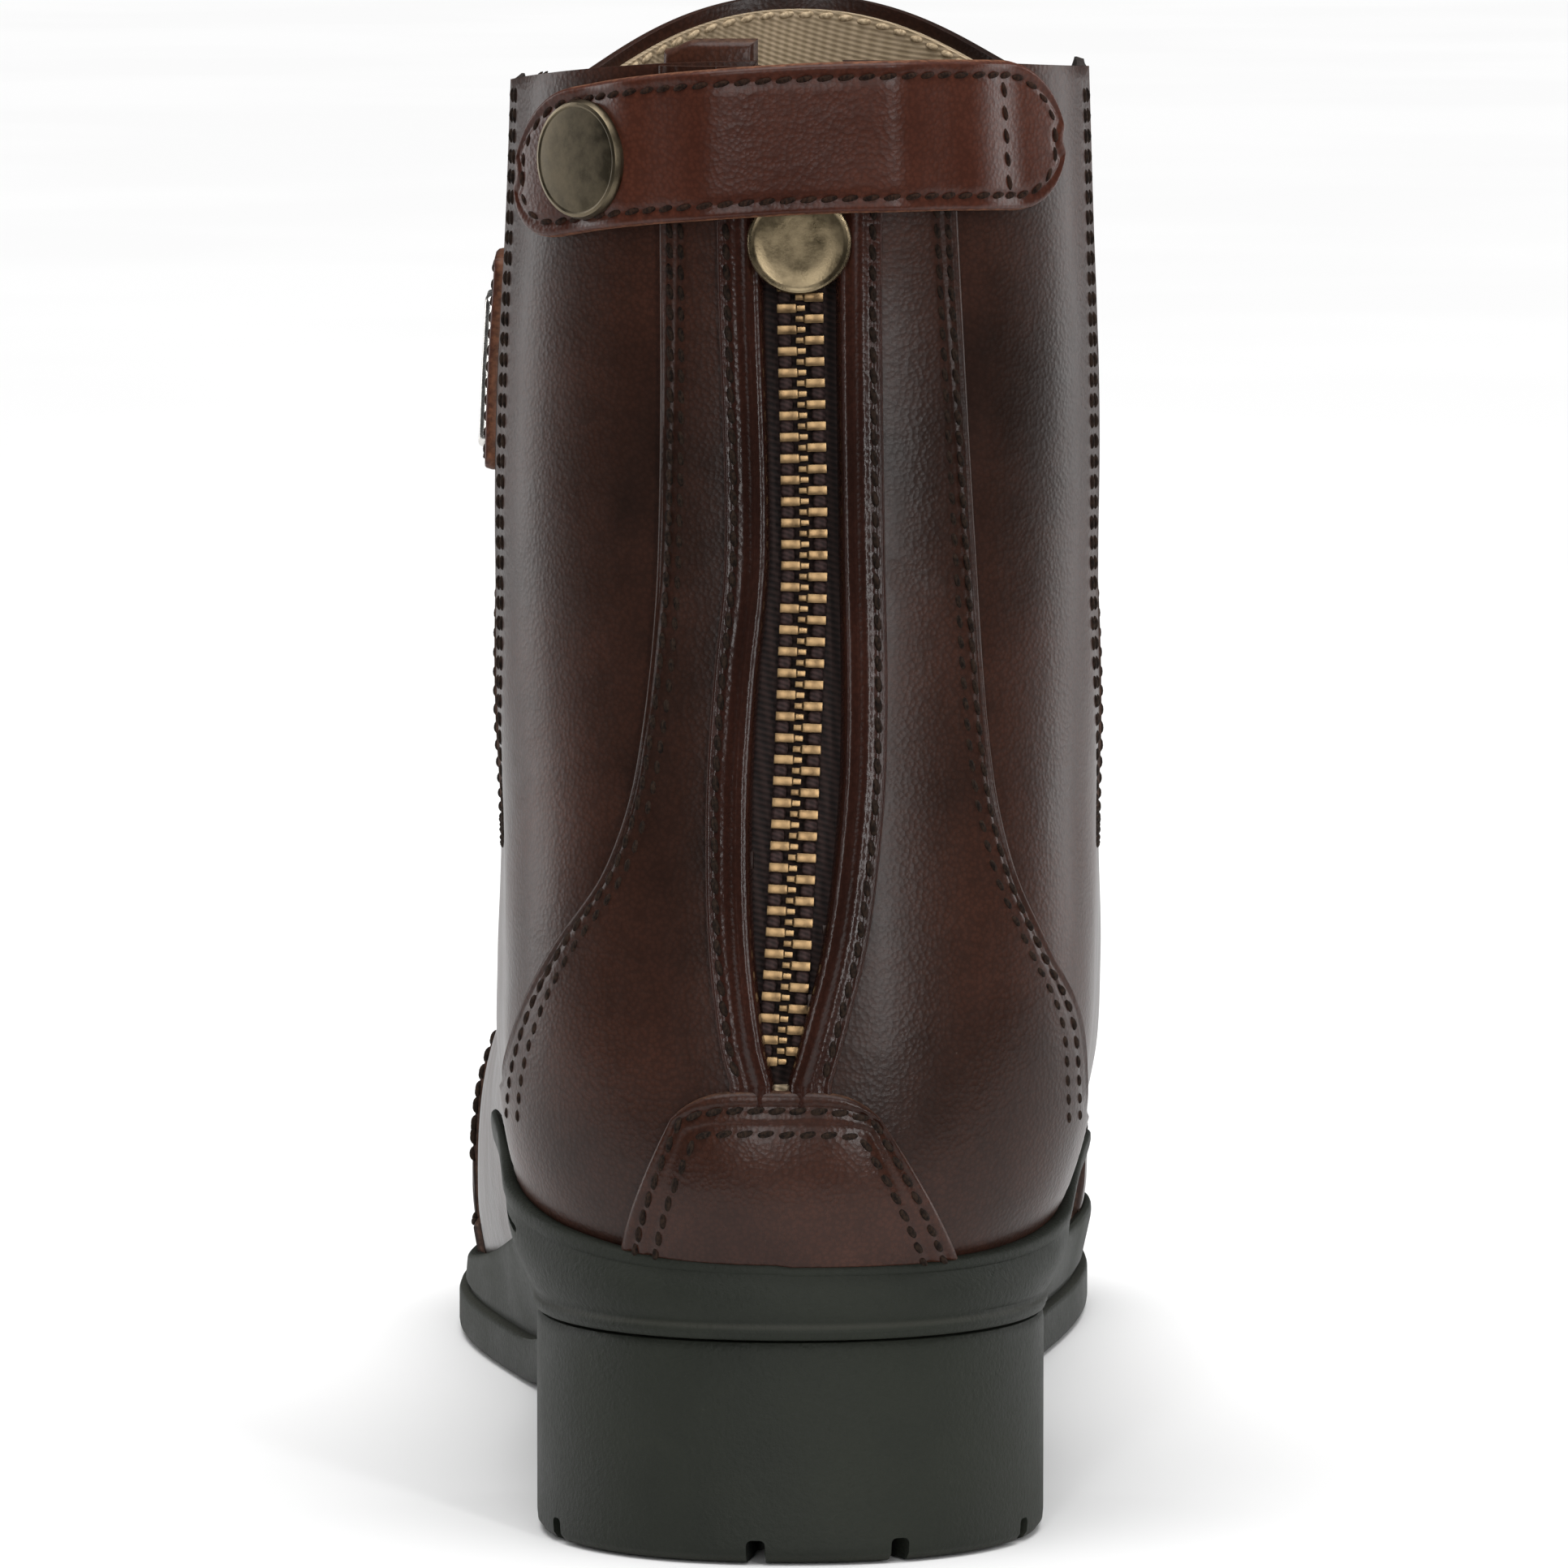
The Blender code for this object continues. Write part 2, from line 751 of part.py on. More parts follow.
def make_heel(finish, parts, cutters):
    """Heel block with the sole's own round back, a straight breast and notches at its foot."""
    breast = HEEL_LENGTH - HEEL_BACK
    narrow = HEEL_WIDTH / HEEL_SEAT_WIDTH
    inset = (HEEL_SEAT_WIDTH - HEEL_WIDTH) / 2
    count = 20
    side_points = []
    for i in range(count + 1):
        share = (1.0 - math.cos(math.pi / 2 * i / count))
        y = mix(-HEEL_BACK, breast, share)
        side_points.append((outline_half(1, y) * narrow if i else 0.0, y))
    ring = [(x, y) for x, y in side_points] + [(-x, y) for x, y in reversed(side_points[1:])]
    bm = bmesh.new()
    face = bm.faces.new([bm.verts.new((x, y + inset * (y < 0), 0.0)) for x, y in ring])
    moved = bmesh.ops.extrude_face_region(bm, geom=[face])["geom"]
    top = [v for v in moved if isinstance(v, bmesh.types.BMVert)]
    bmesh.ops.translate(bm, verts=top, vec=(0, 0, HEEL_HEIGHT))
    bmesh.ops.recalc_face_normals(bm, faces=bm.faces)
    heel = add_mesh_object("heel", bm, finish, parts)
    edge = heel.modifiers.new("edge", "BEVEL")
    edge.width = HEEL_BEVEL
    edge.segments = 2
    edge.limit_method = "ANGLE"
    edge.angle_limit = math.radians(50)
    for number, degrees in enumerate(NOTCH_ANGLES):
        turn = math.radians(degrees)
        reach = HEEL_BACK - NOTCH_LENGTH / 2 + HEEL_BEVEL
        centre = (math.sin(turn) * reach, -math.cos(turn) * reach, 0.0)
        size = (NOTCH_WIDTH, NOTCH_LENGTH + HEEL_BEVEL * 4, NOTCH_HEIGHT * 2)
        subtract(heel, hide_cutter(add_box("notch_%d" % number, size, centre, cutters, turn)))
    return heel


def make_insole(finish, parts):
    loops = []
    for height in (0.0, INSOLE_THICKNESS):
        loop = []
        for angle in loop_angles():
            point = upper_offset(0.0, angle, -WALL - GAP)
            point.z = floor_z(point.y) + GAP + height
            loop.append(point)
        loops.append(loop)
    return add_mesh_object("insole", loops_mesh(loops), finish, parts)


def make_shell(name, offset, thickness, top_level, finish, parts):
    """A band of leather all round the upper, from just above the rubber rim up to a level.

    Its rows lie on the upper's own rows, so the two faces stay parallel.
    """
    levels = [level for level in upper_levels()[2:] if level < top_level] + [top_level]
    lows = [rim_level(angle, RIM_LIFT) for angle in loop_angles()]
    rows = [[upper_offset(low, angle, offset) for low, angle in zip(lows, loop_angles())]]
    for step, level in enumerate(levels):
        least = SHELL_STEP * (step + 1)
        rows.append(
            [upper_offset(max(level, low + least), angle, offset) for low, angle in zip(lows, loop_angles())]
        )
    shell = add_mesh_object(name, grid_mesh(rows, closed=True), finish, parts)
    thicken(shell, thickness, 1.0)
    return shell


def keep_inside(made, outline, axis, start, end, cutters):
    """Cuts a shell to an outline that is drawn square to an axis and drawn out from start to end."""
    bm = bmesh.new()
    places = {"Y": lambda a, b: (a, start, b), "Z": lambda a, b: (a, b, start)}[axis]
    face = bm.faces.new([bm.verts.new(places(a, b)) for a, b in outline])
    moved = bmesh.ops.extrude_face_region(bm, geom=[face])["geom"]
    way = (0, end - start, 0) if axis == "Y" else (0, 0, end - start)
    bmesh.ops.translate(bm, verts=[v for v in moved if isinstance(v, bmesh.types.BMVert)], vec=way)
    bmesh.ops.recalc_face_normals(bm, faces=bm.faces)
    blade = hide_cutter(add_mesh_object(made.name + "_outline", bm, None, cutters))
    keep = made.modifiers.new("outline", "BOOLEAN")
    keep.operation = "INTERSECT"
    keep.solver = "EXACT"
    keep.object = blade


def make_toe_cap(finish, parts, cutters):
    """Overlay over the toe, from just above the rubber rim, with a curved back edge."""
    cap = make_shell("toe_cap", GAP, LEATHER, CAP_TOP_LEVEL, finish, parts)
    half = BALL_WIDTH * 0.6
    steps = 12
    edge = []
    for step in range(steps + 1):
        turn = mix(-1.0, 1.0, step / steps)
        edge.append((turn * half, UPPER_TOE_Y - TOE_CAP_LENGTH - TOE_CAP_SWEEP * turn * turn))
    outline = edge + [(half, TOE_Y + WALL), (-half, TOE_Y + WALL)]
    keep_inside(cap, outline, "Z", 0.0, COLLAR_BACK_Z, cutters)
    return cap


def make_counter(finish, parts, cutters, slot_cutter):
    """Overlay round the heel that narrows to two strips beside the zip."""
    counter = make_shell("counter", GAP, LEATHER, COUNTER_TOP_LEVEL, finish, parts)
    steps = 18
    left = []
    right = []
    for step in range(steps + 1):
        z = mix(HEEL_HEIGHT, COLLAR_BACK_Z * 1.03, step / steps)
        share = z / COLLAR_BACK_Z
        left.append((-read(COUNTER, "z", "lateral", share) * SHAFT_WIDTH / 2, z))
        right.append((read(COUNTER, "z", "medial", share) * SHAFT_WIDTH / 2, z))
    outline = right + list(reversed(left))
    keep_inside(counter, outline, "Y", -HEEL_REACH * 2, HEEL_REACH * 0.5, cutters)
    subtract(counter, slot_cutter)
    return counter


def make_facing(finish, parts, cutters, slot_cutter):
    """Folded strip on both sides of the zip, joined below it."""
    facing = make_shell("zip_facing", GAP * 2 + LEATHER, LEATHER * 0.8, FACING_TOP_LEVEL, finish, parts)
    steps = 16
    left = []
    right = []
    for step in range(steps + 1):
        z = mix(PATCH_TOP_Z + GAP, COLLAR_BACK_Z * 1.03, step / steps)
        left.append((slot_edge(z, -1, FACING_WIDTH), z))
        right.append((slot_edge(z, 1, FACING_WIDTH), z))
    outline = right + list(reversed(left))
    keep_inside(facing, outline, "Y", -HEEL_REACH * 2, 0.0, cutters)
    subtract(facing, slot_cutter)
    return facing


def make_heel_patch(finish, parts, cutters):
    """Patch with a curved top below the zip, down to the rubber rim."""
    patch = make_shell("heel_patch", GAP * 2 + LEATHER, LEATHER * 1.2, PATCH_TOP_LEVEL, finish, parts)
    steps = 6
    right = []
    left = []
    for step in range(steps + 1):
        share = step / steps
        z = mix(HEEL_HEIGHT, PATCH_TOP_Z - PATCH_CORNER, share)
        half = mix(PATCH_FOOT_WIDTH, PATCH_TOP_WIDTH, share ** 1.3) / 2
        right.append((PATCH_TOP_X * share + half, z))
        left.append((PATCH_TOP_X * share - half, z))
    half = PATCH_TOP_WIDTH / 2 - PATCH_CORNER
    top = [(PATCH_TOP_X + half, PATCH_TOP_Z), (PATCH_TOP_X - half, PATCH_TOP_Z)]
    outline = right + top + list(reversed(left))
    keep_inside(patch, outline, "Y", -HEEL_REACH * 2, 0.0, cutters)
    return patch


def make_tape(finish, parts):
    across = 2
    up = 16
    rows = []
    for step in range(up + 1):
        z = mix(ZIP_FOOT_Z - TAPE_WIDTH * 0.1, COLLAR_BACK_Z - GAP * 3, step / up)
        middle = (slot_edge(z, -1, 0) + slot_edge(z, 1, 0)) / 2
        offset = -WALL - GAP - TAPE_THICKNESS
        half = TAPE_WIDTH / 2
        rows.append(
            [on_back(middle + mix(-half, half, place / across), z, offset - GAP) for place in range(across + 1)]
        )
    return panel("zip_tape", rows, TAPE_THICKNESS, finish, parts)


def make_teeth(name, side, finish, parts):
    """One row of teeth on its bead: a strip of cells along the zip, mapped to the back."""
    low = ZIP_FOOT_Z + TOOTH_PITCH
    count = int((SLIDER_Z - low) / TOOTH_PITCH)
    half = CHAIN_WIDTH / 2
    shift = 0.0 if side < 0 else 0.5
    bm = bmesh.new()

    def vert(x, z):
        middle = (slot_edge(z, -1, 0) + slot_edge(z, 1, 0)) / 2
        return bm.verts.new(on_back(middle + side * x, z, -WALL))

    def quad(a, b, c, d):
        corners = (a, b, c, d) if side > 0 else (a, d, c, b)
        bm.faces.new(corners)

    inner = half - BEAD_WIDTH
    z = low + shift * TOOTH_PITCH
    pair = (vert(inner, z), vert(half, z))
    for _ in range(count):
        tooth = z + TOOTH_PITCH * TOOTH_SHARE
        upper_pair = (vert(inner, tooth), vert(half, tooth))
        quad(pair[0], pair[1], upper_pair[1], upper_pair[0])
        tip = (vert(-TOOTH_REACH, z + TOOTH_PITCH * 0.03), vert(-TOOTH_REACH, tooth - TOOTH_PITCH * 0.03))
        quad(tip[0], pair[0], upper_pair[0], tip[1])
        z += TOOTH_PITCH
        next_pair = (vert(inner, z), vert(half, z))
        quad(upper_pair[0], upper_pair[1], next_pair[1], next_pair[0])
        pair = next_pair
    teeth = add_mesh_object(name, bm, finish, parts)
    thicken(teeth, CHAIN_THICKNESS, 1.0)
    return teeth


def zip_frame(z, offset):
    """A frame on the back of the boot: X across, Y inward, Z up along the zip."""
    middle = (slot_edge(z, -1, 0) + slot_edge(z, 1, 0)) / 2
    point = on_back(middle, z, offset)
    above = on_back(middle, z + 0.004, offset)
    below = on_back(middle, z - 0.004, offset)
    up = (above - below).normalized()
    up.x = 0.0
    up.normalize()
    right = Vector((1, 0, 0))
    inward = up.cross(right)
    return Matrix.Translation(point) @ Matrix((right, inward, up)).transposed().to_4x4()


def box_at(bm, size, centre):
    made = bmesh.ops.create_cube(bm, size=1.0)["verts"]
    bmesh.ops.scale(bm, verts=made, vec=size)
    bmesh.ops.translate(bm, verts=made, vec=centre)


def union_boxes(name, boxes, finish, parts, cutters, placed):
    """Boxes joined into one solid, each given as its size and centre in the zip's frame."""
    first = None
    for number, (size, centre) in enumerate(boxes):
        bm = bmesh.new()
        box_at(bm, size, centre)
        if first is None:
            first = add_mesh_object(name, bm, finish, parts)
            first.matrix_world = placed
        else:
            more = hide_cutter(add_mesh_object("%s_%d" % (name, number), bm, None, cutters))
            more.matrix_world = placed
            join = first.modifiers.new("join_%d" % number, "BOOLEAN")
            join.operation = "UNION"
            join.solver = "EXACT"
            join.object = more
    return first


def pivot_offset():
    """Height of the pull's hinge pin above the leather."""
    return chain_top() + GAP + SLIDER_PLATE + GAP + PIN_DIAMETER / 2


def chain_top():
    return -WALL + CHAIN_THICKNESS


def make_slider(finish, parts, cutters):
    """Slider plate over the closed teeth, with two side walls and the bridge for the pull."""
    placed = zip_frame(SLIDER_Z, 0.0)
    low = chain_top() + GAP
    plate = low + SLIDER_PLATE / 2
    bar = pivot_offset() + PIN_DIAMETER / 2 + GAP + BRIDGE_BAR / 2
    leg = BRIDGE_BAR
    boxes = [
        ((SLIDER_WIDTH, SLIDER_PLATE, SLIDER_LENGTH), (0, -plate, 0)),
        ((BRIDGE_WIDTH, BRIDGE_BAR, BRIDGE_SPAN), (0, -bar, 0)),
    ]
    rise = bar - plate
    for end in (-1, 1):
        place = end * (BRIDGE_SPAN / 2 - leg / 2)
        boxes.append(((BRIDGE_WIDTH * 0.98, rise, leg), (0, -(plate + rise / 2), place)))
    for side in (-1, 1):
        thick = (SLIDER_WIDTH - CHAIN_WIDTH) / 2 - GAP
        height = CHAIN_THICKNESS * 0.8
        place = side * (SLIDER_WIDTH / 2 - thick / 2) * 0.999
        boxes.append(((thick, height, SLIDER_LENGTH * 0.98), (place, -(low + SLIDER_PLATE * 0.5 - height / 2), 0)))
    return union_boxes("zip_slider", boxes, finish, parts, cutters, placed)


def make_pull(finish, parts, cutters):
    """Pull: hinge pin under the bridge, two arms and a round disc that clears the facing."""
    placed = zip_frame(SLIDER_Z, pivot_offset())
    disc_out = GAP * 3 + LEATHER * 1.8 + PULL_THICKNESS / 2 - pivot_offset()
    gap_x = BRIDGE_WIDTH / 2 + GAP
    arm_x = gap_x + PULL_ARM / 2
    width = 2 * (gap_x + PULL_ARM)
    top = PIN_DIAMETER / 2
    drop = PULL_DROP - PULL_DIAMETER * 0.36
    boxes = [((width, PIN_DIAMETER, PIN_DIAMETER), (0, 0, 0))]
    for side in (-1, 1):
        size = (PULL_ARM * 0.99, PULL_THICKNESS, drop + top)
        boxes.append((size, (side * arm_x, -disc_out / 2, (top - drop) / 2)))
    pull = union_boxes("zip_pull", boxes, finish, parts, cutters, placed)
    bm = bmesh.new()
    bmesh.ops.create_cone(
        bm, cap_ends=True, segments=28, radius1=PULL_DIAMETER / 2, radius2=PULL_DIAMETER / 2, depth=PULL_THICKNESS
    )
    bmesh.ops.transform(bm, matrix=Matrix.Rotation(math.pi / 2, 4, "X"), verts=bm.verts)
    bmesh.ops.translate(bm, verts=bm.verts, vec=(0, -disc_out, -PULL_DROP))
    disc = hide_cutter(add_mesh_object("pull_disc", bm, None, cutters))
    disc.matrix_world = placed
    join = pull.modifiers.new("disc", "BOOLEAN")
    join.operation = "UNION"
    join.solver = "EXACT"
    join.object = disc
    return pull


def strap_lift(arc):
    """Height of the strap's inner face above the leather, highest over the slider."""
    flat = min(abs(arc), STRAP_FLAT) ** 2 / (2 * BACK_RADIUS)
    over_zip = pivot_offset() + PIN_DIAMETER / 2 + BRIDGE_BAR + GAP * 2 + STRAP_SLACK + flat
    over_facing = GAP * 3 + LEATHER * 1.8 + STRAP_SLACK
    near = mix(over_zip, over_facing, ease((abs(arc) - STRAP_FLAT) / STRAP_FLAT))
    return mix(near, GAP * 3, ease((abs(arc) - STRAP_FLAT * 2) / STRAP_FLAT))


def arc_angles(level, reach, steps):
    """Angles at even arc lengths from the back's middle, outward to reach, for one side of a loop."""
    side = 1 if reach > 0 else -1
    angles = [0.0]
    travelled = 0.0
    angle = 0.0
    here = upper_point(level, 0.0)
    small = 0.004
    wanted = 1
    while wanted <= steps:
        angle += side * small
        there = upper_point(level, angle)
        travelled += (there - here).length
        here = there
        if travelled >= abs(reach) * wanted / steps:
            angles.append(angle)
            wanted += 1
    return angles


def strap_stations():
    level = level_for_z(STRAP_Z, lambda at: 0.0)
    half = STRAP_HEIGHT / 2
    stations = []
    for reach in (-STRAP_LATERAL, STRAP_MEDIAL):
        fine = 120
        angles = arc_angles(level, reach, fine)
        places = [0.0, 0.16, 0.32, 0.48, 0.64]
        places += [1.0 - half / abs(reach) * mix(1.0, 0.03, k / 4) ** 1.6 for k in range(5)]
        run = [(reach * place, angles[round(place * fine)]) for place in places]
        stations += list(reversed(run)) if reach < 0 else run[1:]
    return stations


def on_strap(arc, angle, height, offset):
    slant = math.tan(math.radians(STRAP_TILT)) * arc
    sag = STRAP_SAG * (arc / STRAP_LATERAL) ** 2
    z = STRAP_Z + slant - sag + height
    level = level_for_z(min(z, collar_z(side_of(angle), upper_point(1.0, angle).y)), lambda at: angle)
    point = upper_offset(level, angle, offset)
    point.z = z
    return point


def make_strap(finish, parts):
    """Strap across the back: a band with round ends, lifted over the zip."""
    up = 4
    half = STRAP_HEIGHT / 2
    rows = []
    stations = strap_stations()
    for step in range(up + 1):
        row = []
        for arc, angle in stations:
            end = min(arc + STRAP_LATERAL, STRAP_MEDIAL - arc)
            tall = half * mix(0.12, 1.0, round_end(end, half, 2.0))
            height = mix(-tall, tall, step / up)
            row.append(on_strap(arc, angle, height, strap_lift(arc)))
        rows.append(row)
    return panel("strap", rows, STRAP_THICKNESS, finish, parts)


def make_snap(finish, parts):
    """Domed cap of the snap, a turned profile on the strap's outer face."""
    level = level_for_z(STRAP_Z, lambda at: 0.0)
    radius = SNAP_DIAMETER / 2
    edges = []
    for arc in (SNAP_ARC - radius, SNAP_ARC + radius):
        angle = arc_angles(level, arc, 1)[1]
        edges.append(on_strap(arc, angle, 0.0, strap_lift(arc) + STRAP_THICKNESS))
    angle = arc_angles(level, SNAP_ARC, 1)[1]
    middle = on_strap(SNAP_ARC, angle, 0.0, strap_lift(SNAP_ARC) + STRAP_THICKNESS)
    along = (edges[1] - edges[0]).normalized()
    out = along.cross(Vector((0, 0, 1))).normalized()
    rise = max(0.0, (middle - edges[0]).dot(out))
    point = (edges[0] + edges[1]) / 2 + out * (rise + GAP)
    profile = [(0.0, SNAP_HEIGHT)]
    profile += [(radius * 0.45, SNAP_HEIGHT * 0.96), (radius * 0.8, SNAP_HEIGHT * 0.78)]
    profile += [(radius * 0.96, SNAP_HEIGHT * 0.5), (radius, SNAP_HEIGHT * 0.25), (radius * 0.97, 0.0), (0.0, 0.0)]
    bm = bmesh.new()
    chain = [bm.verts.new((x, 0.0, z)) for x, z in profile]
    for a, b in zip(chain, chain[1:]):
        bm.edges.new((a, b))
    snap = add_mesh_object("strap_snap", bm, finish, parts)
    turn = snap.modifiers.new("turn", "SCREW")
    turn.steps = 24
    turn.render_steps = 24
    turn.use_merge_vertices = True
    turn.merge_threshold = 0.00002
    snap.matrix_world = Matrix.Translation(point) @ out.to_track_quat("Z", "Y").to_matrix().to_4x4()
    return snap


def make_collar_tab(finish, parts):
    """Short folded strip of leather inside the back of the collar, standing a little above it."""
    inside = -WALL - GAP * 4 - TAPE_THICKNESS
    across = 4
    up = 3
    rows = []
    for step in range(up + 1):
        share = step / up
        z = mix(COLLAR_BACK_Z + COLLAR_TAB_RISE - COLLAR_TAB_HEIGHT, COLLAR_BACK_Z + COLLAR_TAB_RISE, share)
        row = []
        for place in range(across + 1):
            x = COLLAR_TAB_X + COLLAR_TAB_WIDTH * (place / across - 0.5)
            row.append(on_back(x, z, inside - COLLAR_TAB_FOLD * 2))
        rows.append(row)
    return panel("collar_tab", rows, COLLAR_TAB_FOLD * 2 - GAP, finish, parts)


def side_panel(name, middle_z, width, height, inner, thickness, finish, parts):
    """A flat panel on the outer elastic."""
    across = 4
    up = 5
    side = -1
    rows = []
    for step in range(up + 1):
        z = middle_z + height * (step / up - 0.5)
        row = []
        for place in range(across + 1):
            y = GUSSET_Y - side * width * (0.5 - place / across)
            row.append(on_side(side, y, z, inner))
        rows.append(row)
    return panel(name, rows, thickness, finish, parts)


def main():
    clear_scene()
    parts = new_collection("paddock_boot")
    cutters = new_collection("paddock_boot_cutters")
    leather = material("leather", (0.045, 0.024, 0.019), 0.42)
    strap_leather = material("strap_leather", (0.075, 0.026, 0.019), 0.45)
    elastic = material("elastic", (0.018, 0.013, 0.012), 0.85)
    rubber = material("rubber", (0.026, 0.027, 0.022), 0.75)
    brass = material("brass", (0.36, 0.25, 0.12), 0.35, 1.0)
    dark_brass = material("dark_brass", (0.20, 0.16, 0.09), 0.38, 1.0)
    steel = material("plate_metal", (0.55, 0.53, 0.50), 0.30, 1.0)
    tape = material("tape", (0.020, 0.014, 0.013), 0.9)
    lining = material("insole_lining", (0.45, 0.33, 0.20), 0.85)

    slot_cutter = make_slot_cutter("slot_cutter", SLOT_MARGIN, 0.0, cutters)
    wide_slot_cutter = make_slot_cutter("wide_slot_cutter", SLOT_MARGIN * 4, CHAIN_WIDTH / 2 + GAP * 2, cutters)
    gusset_cutter = make_gusset_cutter(cutters)
    make_upper(leather, parts, wide_slot_cutter, gusset_cutter)
    make_sole(rubber, parts, cutters)
    make_heel(rubber, parts, cutters)
    make_insole(lining, parts)
    make_elastic("elastic_lateral", -1, elastic, parts)
    make_elastic("elastic_medial", 1, elastic, parts)
    make_toe_cap(leather, parts, cutters)
    make_counter(leather, parts, cutters, wide_slot_cutter)
    make_facing(leather, parts, cutters, slot_cutter)
    make_heel_patch(leather, parts, cutters)
    make_tape(tape, parts)
    make_teeth("zip_teeth_lateral", -1, brass, parts)
    make_teeth("zip_teeth_medial", 1, brass, parts)
    make_slider(dark_brass, parts, cutters)
    make_pull(dark_brass, parts, cutters)
    make_strap(strap_leather, parts)
    make_snap(dark_brass, parts)
    make_collar_tab(strap_leather, parts)
    tab_inner = -ELASTIC_SINK + GAP
    side_panel("side_tab", TAB_Z, TAB_WIDTH, TAB_HEIGHT, tab_inner, TAB_THICKNESS, strap_leather, parts)
    plate_inner = tab_inner + TAB_THICKNESS + GAP
    side_panel("side_plate", PLATE_Z, PLATE_WIDTH, PLATE_HEIGHT, plate_inner, PLATE_THICKNESS, steel, parts)


main()
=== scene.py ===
# Looks of the paddock boot: leather, elastic, zip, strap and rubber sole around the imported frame
import math
from contextlib import contextmanager
from itertools import product

import bmesh
import bpy
import numpy as np
from mathutils import Matrix, Vector


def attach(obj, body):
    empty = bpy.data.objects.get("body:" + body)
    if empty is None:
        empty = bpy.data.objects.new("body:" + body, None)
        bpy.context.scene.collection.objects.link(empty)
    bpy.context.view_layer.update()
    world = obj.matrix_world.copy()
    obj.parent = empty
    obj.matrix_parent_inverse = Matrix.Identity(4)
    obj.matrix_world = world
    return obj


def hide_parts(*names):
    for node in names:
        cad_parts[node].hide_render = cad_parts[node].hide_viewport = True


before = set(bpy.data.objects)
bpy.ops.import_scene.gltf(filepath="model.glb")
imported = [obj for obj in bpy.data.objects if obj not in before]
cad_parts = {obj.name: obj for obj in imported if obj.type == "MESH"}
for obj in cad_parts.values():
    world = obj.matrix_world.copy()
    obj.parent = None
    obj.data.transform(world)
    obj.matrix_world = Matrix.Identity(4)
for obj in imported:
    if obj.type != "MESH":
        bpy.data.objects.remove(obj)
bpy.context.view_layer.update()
bootBody = "boot"
pullBody = "zip_pull"


# Sizes of a piece: a dictionary that can also be read by name
class Sizes(dict):
    __getattr__ = dict.__getitem__


def columns(names, *rows):
    return {key: np.array([row[place] for row in rows]) for place, key in enumerate(names.split())}


def tableRows(table):
    return zip(*table.values())


# The last: sizes in metres, and its sections from the feather edge (level 0) to the collar (level 1)
last = Sizes(
    soleLength=0.278, heelBack=0.035, ballWidth=0.0898, ballOutward=0.002, ballLateralY=0.175,
    ballMedialY=0.200, waistY=0.078, waistLateral=0.0305, waistMedial=0.0265, heelSeatWidth=0.0656,
    heelRound=0.034, heelHeight=0.028, heelLength=0.062, springY=0.198, toeSpring=0.008,
    outsoleLayer=0.0064, forefootFloor=0.008, shankThickness=0.0045, flatStartY=0.122, collarBackZ=0.1875,
    collarFrontZ=0.1925, collarDipLateral=0.0062, collarDipMedial=0.0040, collarArch=0.0066,
    collarArchReach=0.42, collarFrontY=0.0705, shaftWidth=0.0790, shaftLean=0.0012, ankleBulge=0.0020,
    ankleZ=0.075, ankleReach=0.055, heelReach=0.033, backRound=0.032, upperToeY=0.238, gap=0.0003,
)
last.update(toeY=last.soleLength - last.heelBack, breastY=last.heelLength - last.heelBack)

lastRows = columns(
    "level backY backZ frontY frontZ heel mid instep lateral medial noseLateral noseMedial",
    (0.00, 0.895, 0.000, 0.980, 0.000, 0.720, 0.720, 0.640, 0.950, 0.870, 0.262, 0.175),
    (0.08, 0.985, 0.080, 1.000, 0.045, 0.850, 0.890, 0.830, 0.985, 0.925, 0.262, 0.178),
    (0.19, 1.000, 0.180, 0.988, 0.108, 0.915, 0.965, 0.915, 0.960, 0.905, 0.275, 0.195),
    (0.31, 0.955, 0.290, 0.930, 0.178, 0.925, 0.970, 0.900, 0.835, 0.830, 0.330, 0.270),
    (0.44, 0.865, 0.418, 0.752, 0.244, 0.935, 0.960, 0.850, 0.650, 0.640, 0.480, 0.440),
    (0.57, 0.790, 0.546, 0.487, 0.340, 0.968, 0.985, 0.790, 0.560, 0.530, 0.455, 0.430),
    (0.70, 0.745, 0.675, 0.248, 0.475, 0.985, 0.998, 0.820, 0.520, 0.500, 0.330, 0.320),
    (0.83, 0.730, 0.810, 0.099, 0.622, 0.980, 0.990, 0.900, 0.520, 0.500, 0.250, 0.245),
    (0.93, 0.760, 0.915, 0.028, 0.798, 0.955, 0.968, 0.930, 0.520, 0.500, 0.210, 0.208),
    (1.00, 0.785, 1.000, 0.000, 1.000, 0.935, 0.950, 0.930, 0.520, 0.500, 0.198, 0.198),
)

# Height of the rubber rim over the floor of the cup, in shares of the heel's height
rimRows = columns(
    "y lateral medial",
    (-0.144, 0.190, 0.190),
    (-0.080, 0.300, 0.225),
    (0.000, 0.480, 0.345),
    (0.145, 0.590, 0.500),
    (0.290, 0.650, 0.570),
    (0.450, 0.520, 0.490),
    (0.620, 0.220, 0.320),
    (0.730, 0.105, 0.285),
    (0.880, 0.125, 0.270),
    (1.000, 0.200, 0.230),
)

# Edge of the counter, in shares of half the shaft's width
counterRows = columns(
    "z lateral medial",
    (0.225, 0.925, 0.935),
    (0.310, 0.905, 0.930),
    (0.360, 0.845, 0.905),
    (0.405, 0.745, 0.810),
    (0.460, 0.580, 0.700),
    (0.530, 0.480, 0.630),
    (0.670, 0.415, 0.580),
    (1.000, 0.410, 0.495),
)

# Middle and half width of the opening between the lips of the zip, in chain widths
slotRows = columns(
    "z middle half",
    (0.000, -0.200, 0.100),
    (0.040, -0.190, 0.330),
    (0.140, -0.070, 0.700),
    (0.270, 0.045, 0.880),
    (0.380, 0.120, 0.850),
    (0.520, 0.190, 0.700),
    (0.800, 0.030, 0.740),
    (1.000, 0.000, 0.780),
)

